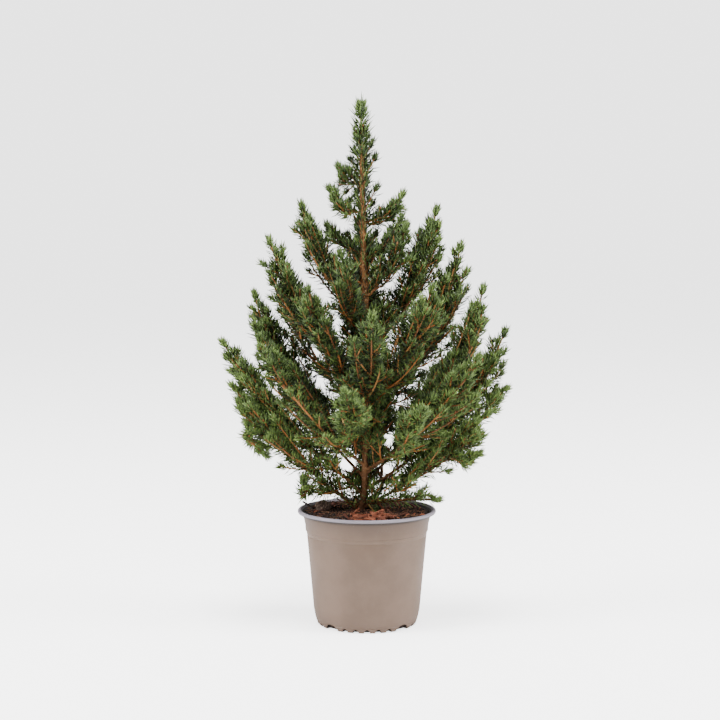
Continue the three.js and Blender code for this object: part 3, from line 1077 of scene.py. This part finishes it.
def set_crest(points, count):
    """The thick crest of long upright needles round the end of the leader."""
    total = lengths_along(points)[-1]
    places = total - rng.uniform(0, CREST_LENGTH, count) * MM
    lean = np.radians(rng.uniform(8, 36, count))
    room = (total + LEADER_TUFT - places) / np.cos(lean)
    length = np.minimum(NEEDLE_LENGTH * rng.uniform(0.9, 1.15, count),
                        room * rng.uniform(0.8, 1, count))
    set_needles(points, places, lean, length, 2.6 + rng.normal(0, 1.0, count), False)


print("tufts", TUFT_LENGTH, "mm long")

# %% Dressing the crown
CROWN_HEIGHTS = (0.1, 0.2, 0.27, 0.36, 0.4, 0.49)
CROWN_RADII = (0.09, 0.12, 0.13, 0.09, 0.05, 0.015)
LOW_HEIGHTS = (0.17, 0.25)
# Painted light on low sprays, for the light the pale floor throws up at them.
PAINTED_GROUND_LIGHT = (1.5, 0.0)
LEADER_SHADE = 1.9
CREST_NEEDLES = 160
crown_axis = trunk_line.mean(axis=0)


def shade_of(points):
    """Painted shade and light: low deep in the crown, high in the open and near the ground."""
    tip = points[-1]
    out = np.linalg.norm(tip[:2] - crown_axis[:2]) / np.interp(tip[2], CROWN_HEIGHTS, CROWN_RADII)
    # Painted shade darkens sprays deep in the crown, and painted light brightens low ones.
    open_air = float(np.clip((out - 0.3) / 0.7, 0, 1))
    low = np.interp(tip[2], LOW_HEIGHTS, PAINTED_GROUND_LIGHT)
    return np.clip(0.65 + 1.2 * open_air + low + rng.normal(0, 0.5), -0.2, 2.6)


for shoot in shoots:
    points = shoot["points"]
    if shoot["old"]:
        dress(points, 3 * MM, 1.2 * NEEDLE_SPACING, shade_of(points),
              size=1.05, stand=68, tuft=10)
    elif shoot["order"] == 2:
        dress(points, 4 * MM, NEEDLE_SPACING, shade_of(points), size=1, stand=62, tuft=25)
    else:
        dress(points, 3 * MM, NEEDLE_SPACING, shade_of(points) - 0.2,
              size=0.95, stand=60, tuft=10)
for name, line in limbs.items():
    if name == "leader":
        dress(line, leafy[name], 0.5 * NEEDLE_SPACING, LEADER_SHADE,
              size=1.35, stand=50, tuft=20, parted=False)
        set_crest(line, CREST_NEEDLES)
    else:
        dress(line, NEEDLED_FROM * leafy[name], NEEDLE_SPACING, shade_of(line),
              size=1, stand=60, tuft=64)
needles = {key: np.concatenate(rows) for key, rows in needle_rows.items()}
print(len(needles["foot"]), "needles")

# %% [markdown]
# ## One needle, many times
#
# A needle is a slim three-sided spike, about twelve millimetres long and one across at its
# waist, with a slight bend. All of them are worked out together as arrays, because an operator
# call for each of many thousand needles would take hours.

# %% Needle meshes
SPIKE_SIDES = 3
SPIKE_WAIST = 0.52
SPIKE_BEND = 0.05
CORNERS_PER_SPIKE = SPIKE_SIDES + 2


def spike_faces():
    """Triangles of one needle: corner 0 is its foot and the last corner its point."""
    faces = []
    for side in range(SPIKE_SIDES):
        here, following = 1 + side, 1 + (side + 1) % SPIKE_SIDES
        faces += [(0, following, here), (here, following, CORNERS_PER_SPIKE - 1)]
    return np.array(faces)


def spikes(feet, headings, lengths, widths):
    """Corners and triangles of many needles at once."""
    side = unit(np.cross(headings, UP) + np.array((1e-6, 0, 0)))
    lift = np.cross(side, headings)
    bend = lift * (SPIKE_BEND * lengths)[:, None]
    waist = feet + headings * (SPIKE_WAIST * lengths)[:, None] - bend
    rings = [feet]
    for corner in range(SPIKE_SIDES):
        turn = 2 * math.pi * corner / SPIKE_SIDES
        out = math.cos(turn) * side + math.sin(turn) * lift
        rings.append(waist + out * (0.5 * widths)[:, None])
    rings.append(feet + headings * lengths[:, None])
    points = np.stack(rings, axis=1).reshape(-1, 3)
    starts = np.arange(len(feet))[:, None, None] * CORNERS_PER_SPIKE
    return points, (spike_faces()[None] + starts).reshape(-1, 3)


def joined_mesh(name, points, triangles, material, smooth=True):
    """One piece from arrays of corners and triangles."""
    mesh = bpy.data.meshes.new(name)
    mesh.vertices.add(len(points))
    mesh.vertices.foreach_set("co", np.ascontiguousarray(points, dtype=np.float32).ravel())
    mesh.loops.add(3 * len(triangles))
    mesh.loops.foreach_set("vertex_index", np.ascontiguousarray(triangles, dtype=np.int32).ravel())
    mesh.polygons.add(len(triangles))
    mesh.polygons.foreach_set("loop_start", np.arange(0, 3 * len(triangles), 3, dtype=np.int32))
    mesh.polygons.foreach_set("use_smooth", np.full(len(triangles), smooth))
    mesh.update(calc_edges=True)
    mesh.materials.append(material)
    piece = bpy.data.objects.new(name, mesh)
    bpy.context.collection.objects.link(piece)
    return piece


print("a needle has", len(spike_faces()), "triangles")

# %% Joining the needles of each tint
NEEDLES_PER_PIECE = 32000
for index, (tint, colour) in enumerate(TINTS.items()):
    chosen = np.flatnonzero(needles["tint"] == index)
    material = plain_material(f"needle_{tint}", colour, 0.5, 0.25)
    pieces = max(1, math.ceil(len(chosen) / NEEDLES_PER_PIECE))
    for number, part in enumerate(np.array_split(chosen, pieces)):
        widths = NEEDLE_WIDTH * rng.uniform(0.85, 1.1, len(part))
        points, triangles = spikes(needles["foot"][part], needles["heading"][part],
                                   needles["length"][part], widths)
        piece = joined_mesh(f"needles_{tint}_{number + 1}", points, triangles, material)
        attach(piece, "root")
        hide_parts(*foliage_nodes)
        print(piece.name, len(triangles), "triangles")

# %% [markdown]
# ## Tubes for wood
#
# A twig, a bough, a fibre and a stick are all the same thing to a modeller: a ring of corners
# carried along a line and drawn in as it goes. A curve with a bevel would do it too, but there
# are nearly two thousand of them, and an array makes each one in a single step.

# %% Tubes
def tube(points, radii, sides):
    """Corners and triangles of a closed tapering tube along a line."""
    tangent = unit(np.gradient(points, axis=0))
    side = unit(np.cross(tangent, UP) + np.array((1e-6, 0, 0)))
    lift = np.cross(side, tangent)
    turns = 2 * math.pi * np.arange(sides) / sides
    ring = (np.cos(turns)[None, :, None] * side[:, None]
            + np.sin(turns)[None, :, None] * lift[:, None])
    body = (points[:, None] + ring * radii[:, None, None]).reshape(-1, 3)
    tip = points[-1:] + tangent[-1:] * radii[-1]
    faces = []
    for low in range(len(points) - 1):
        for corner in range(sides):
            a, b = low * sides + corner, low * sides + (corner + 1) % sides
            faces += [(a, b, b + sides), (a, b + sides, a + sides)]
    last = (len(points) - 1) * sides
    faces += [(last + corner, last + (corner + 1) % sides, len(body)) for corner in range(sides)]
    faces += [(corner + 1, corner, 0) for corner in range(1, sides - 1)]
    return np.vstack((body, tip)), np.array(faces)


def joined_tubes(tubes):
    """Many tubes as one set of corners and triangles."""
    points, faces, start = [], [], 0
    for corners_of_one, faces_of_one in tubes:
        points.append(corners_of_one)
        faces.append(faces_of_one + start)
        start += len(corners_of_one)
    return np.vstack(points), np.vstack(faces)


print("helpers for tubes ready")

# %% [markdown]
# ## Twigs and buds
#
# Young spruce shoots are smooth and orange brown, and every one ends in a small pointed bud.
# Shoots differ in age, so their tubes are dealt out to three plain tints, each joined into one
# piece. The buds are one more joined piece.

# %% Twigs and buds
TWIG_SIDES = 5
TWIG_TINTS = {"orange": (0.27, 0.098, 0.022), "brown": (0.15, 0.055, 0.014),
              "tan": (0.33, 0.155, 0.048)}
TWIG_SHARES = (0.5, 0.28, 0.22)
TWIG_TIP = 0.55 * MM
TWIG_FEET = {2: 1.1 * MM, 3: 0.75 * MM}
TWIG_TAPER = 0.012
BUD_LENGTH = 3 * MM
BUD_RADIUS = 0.8 * MM
BUD_RINGS = np.array(((0.0, 0.55), (0.3, 1.0), (0.65, 0.75), (0.9, 0.3)))
LEADER_STEM_HEIGHTS = (0.385, 0.45, 0.48)
LEADER_STEM_RADII = (2.5 * MM, 1.6 * MM, 1.0 * MM)
twig_tubes = {tint: [] for tint in TWIG_TINTS}
bud_tubes = []
for shoot in shoots:
    points = shoot["points"]
    foot = min(TWIG_FEET[shoot["order"]], TWIG_TIP + shoot["length"] * TWIG_TAPER)
    tint = rng.choice(list(TWIG_TINTS), p=TWIG_SHARES)
    twig_tubes[tint].append(tube(points, np.linspace(foot, TWIG_TIP, len(points)), TWIG_SIDES))
    heading = unit(points[-1] - points[-2])
    bud_line = points[-1] + heading * BUD_RINGS[:, :1] * BUD_LENGTH
    bud_tubes.append(tube(bud_line, BUD_RINGS[:, 1] * BUD_RADIUS, TWIG_SIDES))
leader_stem = limbs["leader"][limbs["leader"][:, 2] > LEADER_STEM_HEIGHTS[0]]
leader_radii = np.interp(leader_stem[:, 2], LEADER_STEM_HEIGHTS, LEADER_STEM_RADII)
twig_tubes["tan"].append(tube(leader_stem, leader_radii, 2 * TWIG_SIDES))
for tint, colour in TWIG_TINTS.items():
    twigs = joined_mesh(f"twigs_{tint}", *joined_tubes(twig_tubes[tint]),
                        plain_material(f"twig_{tint}", colour, 0.65, 0.35))
    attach(twigs, "root")
    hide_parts(*foliage_nodes)
    print(twigs.name, len(twigs.data.polygons), "triangles")
buds = joined_mesh("buds", *joined_tubes(bud_tubes),
                   plain_material("bud_scale", (0.24, 0.10, 0.035), 0.6, 0.4))
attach(buds, "root")
print(buds.name, len(buds.data.polygons), "triangles")

# %% [markdown]
# ## The trunk
#
# The trunk of a young spruce is a straight taper with a flare at its foot, a thickened ring
# wherever a whorl of boughs leaves it, and bark in small loose scales. It is extruded from a
# disc, one short step after another along the line that was read from the frame. A cell
# texture and a finer cloud then raise the scales.

# %% Extruding the trunk
TRUNK_SIDES = 24
STOUT_HEIGHTS = (0.105, 0.13, 0.2, 0.29, 0.33, 0.42)
STOUTNESS = (0.68, 0.78, 1.05, 1.1, 1.3, 1.3)
KNUCKLE = 0.26
KNUCKLE_REACH = 2.6 * MM
rises = trunk_line[:, 2]
whorls = [line[0][2] for name, line in limbs.items() if name != "leader"]
swelling = np.zeros(len(trunk_line))
for height in whorls:
    swelling = np.maximum(swelling, np.exp(-((rises - height) / KNUCKLE_REACH) ** 2))
trunk_radii = np.interp(rises, ring_middles[:, 2], ring_radii)
trunk_radii = trunk_radii * np.interp(rises, STOUT_HEIGHTS, STOUTNESS) * (1 + KNUCKLE * swelling)
clear_selection()
bpy.ops.mesh.primitive_circle_add(vertices=TRUNK_SIDES, radius=trunk_radii[0], fill_type="NGON",
                                  location=trunk_line[0])
trunk = finished("trunk_bark")
start_editing()
for index in range(1, len(trunk_line)):
    step = trunk_line[index] - trunk_line[index - 1]
    narrow = trunk_radii[index] / trunk_radii[index - 1]
    bpy.ops.mesh.extrude_region_move(TRANSFORM_OT_translate={"value": tuple(step)})
    bpy.ops.transform.resize(value=(narrow, narrow, 1), center_override=tuple(trunk_line[index]))
close_body()
print(trunk.name, len(trunk.data.polygons), "faces,", len(whorls), "knuckles")

# %% Scales on the trunk
def cloud_texture(name, size, kind="CLOUDS"):
    """A texture for Displace whose patches have a size in millimetres."""
    texture = bpy.data.textures.new(name, kind)
    texture.noise_scale = size * MM
    return texture


apply_modifier(trunk, "SUBSURF", subdivision_type="SIMPLE", levels=1, render_levels=1)
apply_modifier(trunk, "DISPLACE", texture=cloud_texture("bark_scales", 2.6, "VORONOI"),
               strength=0.9 * MM)
apply_modifier(trunk, "DISPLACE", texture=cloud_texture("bark_crust", 0.9), strength=0.5 * MM)
print(trunk.name, len(trunk.data.polygons), "faces with its scales")

# %% [markdown]
# ## Bark
#
# The scales weather to a pale tan at their edges, and the fresh bark between them is orange
# brown. Low on the trunk, under the crown, everything is darker with painted shade. The boughs
# are joined tubes, pushed about by the same textures, and carry the same bark.

# %% Bark on the trunk
PAINTED_SHADE_TOP = 0.24
PAINTED_SHADE_DEPTH = 0.8
UPRIGHT_GRAIN = (1, 1, 0.45)


def bark_material(name, deep, fresh, scale):
    """Scaly bark with painted shade that darkens it low down."""
    material = plain_material(name, fresh, 0.85, 0.3)
    places = surface_places(material, UPRIGHT_GRAIN)
    clouds = place_group(material, CLOUDED, places, First=deep, Second=fresh,
                         Patches_Per_Metre=420.0, Contrast=0.14)
    flakes = place_group(material, SPECKLED, places, Color=clouds.outputs["Color"], Dots=scale,
                         Dots_Per_Metre=620.0, Share=0.26)
    # Painted shade: the bark darkens towards the foot of the trunk, under the crown.
    shaded_low = blended(material, height_mask(material, trunk_line[0][2], PAINTED_SHADE_TOP),
                   tuple(PAINTED_SHADE_DEPTH * part for part in deep), flakes.outputs["Color"])
    grain = place_group(material, GRAIN, places, Grains_Per_Metre=1500.0, Smooth=0.65, Rough=0.95)
    return finish_material(material, shaded_low, grain, 0.9, 0.5 * MM)


bark = bark_material("spruce_bark", (0.105, 0.043, 0.014), (0.26, 0.115, 0.037),
                     (0.40, 0.24, 0.12))
trunk.data.materials.append(bark)
smooth_to(trunk, 40)
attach(trunk, "root")
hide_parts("trunk")
print(bark.name, len(bark.node_tree.nodes), "nodes")

# %% Boughs
BOUGH_SIDES = 10
BOUGH_TIP = 0.75 * MM
STOUTEST_FOOT = 1.65 * MM
SLIMMEST_FOOT = 0.8 * MM
BOUGH_TAPER = 0.006
limb_tubes = []
for name, line in limbs.items():
    if name != "leader":
        share = np.linspace(0, 1, len(line))
        foot = min(STOUTEST_FOOT, SLIMMEST_FOOT + lengths_along(line)[-1] * BOUGH_TAPER)
        limb_tubes.append(tube(line, foot + (BOUGH_TIP - foot) * share ** 0.8, BOUGH_SIDES))
boughs_piece = joined_mesh("boughs_bark", *joined_tubes(limb_tubes), bark)
apply_modifier(boughs_piece, "DISPLACE", texture=cloud_texture("bough_scales", 2.2, "VORONOI"),
               strength=0.5 * MM)
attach(boughs_piece, "root")
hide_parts(*bough_nodes)
print(boughs_piece.name, len(boughs_piece.data.polygons), "triangles")

# %% [markdown]
# ## The compost
#
# The pot is filled with dark moist compost to a few millimetres under the lip, a little higher
# round the trunk. The body is extruded like the pot, ring by ring, up beside the inner wall and
# then inwards over the top. Two cloud textures push the top up and down: a broad one for the
# way it was filled, and a fine one for its crumbs.

# %% Body of the compost
TOP_DRESSING = 3.6
CLEAR = 0.7
SOIL_STEP = 1.9
MOUND = 1.3
soil_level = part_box("trunk")[0][2] / MM + TOP_DRESSING
soil_edge = band_top - WALL - 0.5
soil_profile = [
    (foot_radius - WALL - CLEAR, FLOOR + 0.4), (skirt_radius - WALL - CLEAR, SKIRT),
    (wall_top - WALL - CLEAR, BAND_FOOT), (soil_edge, soil_level - 1.2),
]
for ring in range(1, int(soil_edge / SOIL_STEP)):
    radius = soil_edge - ring * SOIL_STEP
    soil_profile.append((radius, soil_level - 0.9 + MOUND * (1 - radius / soil_edge)))
compost = extruded_body("compost", soil_profile, POT_SIDES)


def top_group(piece, lowest, widest):
    """Marks the corners above a height and inside a radius, for a modifier to act on."""
    group = piece.vertex_groups.new(name="top")
    chosen = [corner.index for corner in piece.data.vertices
              if corner.co.z > lowest * MM and corner.co.xy.length < widest * MM]
    group.add(chosen, 1.0, "REPLACE")


top_group(compost, soil_level - 2, soil_edge - 0.5)
apply_modifier(compost, "DISPLACE", texture=cloud_texture("filling", 13), strength=4.5 * MM,
               direction="Z", vertex_group="top")
apply_modifier(compost, "DISPLACE", texture=cloud_texture("crumbs", 2.2), strength=3.2 * MM,
               direction="Z", vertex_group="top")
smooth_to(compost, 30)
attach(compost, "root")
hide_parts("soil")
print("compost", len(compost.data.polygons), "faces, level at", round(soil_level, 1))

# %% Earthy finishes
def earthy_material(name, dark, light, dots, share, patches):
    """Speckled, clouded and dull, for what lies on and in the pot."""
    material = plain_material(name, light, 0.9, 0.25)
    places = surface_places(material)
    clouds = place_group(material, CLOUDED, places, First=dark, Second=light,
                         Patches_Per_Metre=patches, Contrast=0.16)
    specks = place_group(material, SPECKLED, places, Color=clouds.outputs["Color"], Dots=dots,
                         Dots_Per_Metre=520.0, Share=share)
    grain = place_group(material, GRAIN, places, Grains_Per_Metre=900.0, Smooth=0.72, Rough=0.98)
    return finish_material(material, specks.outputs["Color"], grain, 0.8, 1.0 * MM)


damp_compost = earthy_material("damp_compost", (0.006, 0.0032, 0.002), (0.018, 0.0085, 0.005),
                               (0.050, 0.020, 0.011), share=0.2, patches=160.0)
compost.data.materials.append(damp_compost)
print(damp_compost.name, len(damp_compost.node_tree.nodes), "nodes")

# %% [markdown]
# ## Bark chips, crumbs and fibres
#
# Nursery compost is full of reddish bark chips, coarse crumbs and brown fibres, and old needles
# lie on it. A chip is a block flattened into a splinter and broken up by a fractal subdivide.
# A few chips and crumbs are modelled, and then laid down many times, each turned and sized
# differently, and dropped on to the compost below it.

# %% Modelling chips and crumbs
CHIP_THICKNESS = 0.08
CHIP_ROUGHNESS = 0.55
CRUMB_ROUGHNESS = 0.16


def arrays_of(piece):
    """Corners and triangles of a piece, which is then removed."""
    piece.data.calc_loop_triangles()
    points = np.array([corner.co for corner in piece.data.vertices])
    triangles = np.array([face.vertices for face in piece.data.loop_triangles])
    bpy.data.objects.remove(piece)
    return points, triangles


def bark_chip(seed):
    """A splinter one unit long, broken at its ends."""
    clear_selection()
    bpy.ops.mesh.primitive_cube_add(size=1, scale=(1, 0.2 + 0.05 * (seed % 3), CHIP_THICKNESS))
    piece = finished("chip")
    start_editing()
    bpy.ops.mesh.subdivide(number_cuts=3, fractal=CHIP_ROUGHNESS, seed=seed)
    close_body()
    return arrays_of(piece)


def crumb(seed):
    """A rough lump one unit across."""
    clear_selection()
    bpy.ops.mesh.primitive_ico_sphere_add(subdivisions=1, radius=0.5)
    piece = finished("crumb")
    start_editing()
    bpy.ops.transform.vertex_random(offset=CRUMB_ROUGHNESS, seed=seed)
    bpy.ops.object.mode_set(mode="OBJECT")
    return arrays_of(piece)


CHIPS = [bark_chip(seed) for seed in range(1, 7)]
CRUMBS = [crumb(seed) for seed in range(1, 5)]
print(len(CHIPS), "chips and", len(CRUMBS), "crumbs modelled")

# %% [markdown]
# ## Strewing the pot
#
# Chips lie flat, so they are tilted only a little, and crumbs roll any way. Most lie anywhere
# on the compost, but a drift of larger chips has gathered at the front. Every copy is turned
# first, then set down with its lowest corner on the compost straight under it.

# %% Spots on the compost
soil_rng = np.random.default_rng(7)
EDGE_ROOM = 4
DRIFT_ACROSS = (6, 10)
DRIFT_FORWARDS = (-53, -28)
compost_skin = BVHTree.FromPolygons([corner.co for corner in compost.data.vertices],
                                    [tuple(face.vertices) for face in compost.data.polygons])


def on_compost(x, y):
    """Height of the compost under a place."""
    hit = compost_skin.ray_cast(Vector((x, y, 0.2)), Vector((0, 0, -1)))[0]
    return hit.z if hit else soil_level * MM


def laid_down(shapes, count, spot, size, thick, tilt, sink, spread=3.14):
    """Copies of the shapes, as long as size says in millimetres, lying on the compost."""
    points, faces, start = [], [], 0
    for number in range(count):
        shape, triangles = shapes[number % len(shapes)]
        x, y = spot()
        scale = soil_rng.uniform(*size) * MM
        angles = (soil_rng.normal(0, tilt), soil_rng.normal(0, tilt),
                  soil_rng.uniform(-spread, spread))
        turn = np.array(Euler(angles).to_matrix())
        body = (shape * (1, soil_rng.uniform(0.7, 1.4), thick)) @ turn.T * scale
        points.append(body + (x, y, on_compost(x, y) - body[:, 2].min() - sink * scale))
        faces.append(triangles + start)
        start += len(shape)
    return np.vstack(points), np.vstack(faces)


def anywhere():
    """An even random spot on the compost."""
    radius = (soil_edge - EDGE_ROOM) * MM * math.sqrt(soil_rng.uniform(0.01, 1))
    turn = soil_rng.uniform(*ANY_TURN)
    return radius * math.cos(turn), radius * math.sin(turn)


def in_front():
    """A spot in the drift of chips at the front of the pot."""
    return soil_rng.normal(*DRIFT_ACROSS) * MM, soil_rng.uniform(*DRIFT_FORWARDS) * MM


def on_the_pot(name, arrays, material):
    piece = joined_mesh(name, *arrays, material, smooth=False)
    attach(piece, "root")
    return piece


print("drift", DRIFT_FORWARDS, "mm from the axis")

# %% Laying chips and crumbs on the compost
red_chips = earthy_material("bark_chip_red", (0.12, 0.033, 0.016), (0.27, 0.082, 0.040),
                            (0.42, 0.19, 0.11), share=0.18, patches=220.0)
rust_chips = earthy_material("bark_chip_rust", (0.055, 0.016, 0.008), (0.13, 0.036, 0.018),
                             (0.26, 0.10, 0.055), share=0.16, patches=220.0)
brown_chips = earthy_material("bark_chip_brown", (0.035, 0.012, 0.007), (0.085, 0.027, 0.015),
                              (0.17, 0.07, 0.04), share=0.14, patches=220.0)
dark_crumbs = earthy_material("compost_crumb", (0.006, 0.003, 0.002), (0.026, 0.0105, 0.006),
                              (0.075, 0.028, 0.015), share=0.13, patches=300.0)
front = laid_down(CHIPS, 12, in_front, (9, 22), thick=1.2, tilt=0.14, sink=0.0, spread=0.5)
on_the_pot("bark_chips_front", front, red_chips)
drift = laid_down(CHIPS, 20, in_front, (5, 15), thick=1.3, tilt=0.2, sink=0.02, spread=0.9)
on_the_pot("bark_chips_drift", drift, rust_chips)
red = laid_down(CHIPS, 24, anywhere, (4, 11), thick=1.2, tilt=0.3, sink=0.02)
on_the_pot("bark_chips_red", red, red_chips)
brown = laid_down(CHIPS, 120, anywhere, (3, 11), thick=1.2, tilt=0.3, sink=0.04)
on_the_pot("bark_chips_brown", brown, brown_chips)
loose = laid_down(CRUMBS, 1900, anywhere, (0.9, 3.0), thick=0.8, tilt=1.0, sink=0.25)
crumbs = on_the_pot("compost_crumbs", loose, dark_crumbs)
print(crumbs.name, len(crumbs.data.polygons), "triangles")

# %% [markdown]
# ## What has fallen into the pot
#
# Fine dead roots come up with the compost and lie curled on it, and needles that the plant has
# shed dry to brown. A fibre is a line that wanders from a random spot, given a thin tube. A
# fallen needle is the same spike as a living one, laid nearly flat.

# %% Fibres and fallen needles
FIBRES = 190
FIBRE_RADIUS = 0.24 * MM
FIBRE_STEP = 2 * MM
FALLEN = 240


def fibre():
    """A thin bent root hair lying on the compost."""
    x, y = anywhere()
    turn = soil_rng.uniform(*ANY_TURN)
    curl = soil_rng.normal(0, 0.12)
    points = []
    for step in range(int(soil_rng.uniform(5, 13))):
        if math.hypot(x, y) > (soil_edge - 2) * MM:
            break
        points.append((x, y, on_compost(x, y) + soil_rng.uniform(0.4, 1.3) * MM))
        turn += curl
        x, y = x + FIBRE_STEP * math.cos(turn), y + FIBRE_STEP * math.sin(turn)
    return np.array(points)


fibres = [line for line in (fibre() for _ in range(FIBRES)) if len(line) > 3]
fibre_tubes = [tube(line, np.full(len(line), FIBRE_RADIUS), 4) for line in fibres]
on_the_pot("compost_fibres", joined_tubes(fibre_tubes),
           plain_material("root_fibre", (0.16, 0.075, 0.042), 0.85, 0.2))

spots = np.array([anywhere() for _ in range(FALLEN)])
heights = np.array([on_compost(x, y) for x, y in spots]) + soil_rng.uniform(0.4, 1.6, FALLEN) * MM
turns = soil_rng.uniform(*ANY_TURN, FALLEN)
headings = unit(np.column_stack((np.cos(turns), np.sin(turns), soil_rng.normal(0, 0.12, FALLEN))))
fallen = spikes(np.column_stack((spots, heights)) - headings * 4 * MM, headings,
                soil_rng.uniform(7, 11, FALLEN) * MM, np.full(FALLEN, 0.9 * MM))
on_the_pot("fallen_needles", fallen,
           plain_material("dry_needle", (0.095, 0.045, 0.020), 0.75, 0.25))
print(len(fibres), "fibres,", FALLEN, "fallen needles")

# %% [markdown]
# ## A stick and a scrap of cone
#
# Two finds lie at the left edge: a dead stick that stands up against the rim, and a scrap of
# a cone. The stick is a tube whose radius swells and shrinks in small knots. The scrap is a
# squashed ball whose scales are raised by a cell texture and then worn by a broader cloud.

# %% Stick and cone scrap
STICK_FOOT = np.array((-50 * MM, 2 * MM, soil_level * MM - 1 * MM))
STICK_TIP = np.array((-60 * MM, 5 * MM, (POT_TOP + 5.5) * MM))
STICK_BOW = 0.6 * MM
KNOTS = 0.12
SCRAP_PLACE = (-41 * MM, 2 * MM, soil_level * MM + 4.0 * MM)
SCRAP_SHAPE = (1.25, 1, 0.85)
stick_middle = (STICK_FOOT + STICK_TIP) / 2 + STICK_BOW
stick_line = walk(np.array((STICK_FOOT, stick_middle, STICK_TIP)), 1 * MM)
stick_radii = np.linspace(1.3, 0.9, len(stick_line)) * MM
stick_radii = stick_radii * (1 + KNOTS * np.sin(np.arange(len(stick_line)) * 1.9))
on_the_pot("dead_stick", tube(stick_line, stick_radii, 8),
           earthy_material("dead_wood", (0.012, 0.009, 0.008), (0.035, 0.025, 0.02),
                           (0.06, 0.045, 0.035), share=0.1, patches=300.0))

clear_selection()
bpy.ops.mesh.primitive_ico_sphere_add(subdivisions=4, radius=6.0 * MM, scale=SCRAP_SHAPE,
                                      location=SCRAP_PLACE)
scrap = finished("cone_scrap")
apply_modifier(scrap, "DISPLACE", texture=cloud_texture("scales", 2.4, "VORONOI"),
               strength=2.6 * MM)
apply_modifier(scrap, "DISPLACE", texture=cloud_texture("wear", 5), strength=2.0 * MM)
cone_scale = earthy_material("cone_scale", (0.055, 0.034, 0.024), (0.15, 0.10, 0.075),
                             (0.22, 0.16, 0.12), share=0.14, patches=400.0)
scrap.data.materials.append(cone_scale)
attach(scrap, "root")
print(scrap.name, len(scrap.data.polygons), "triangles")
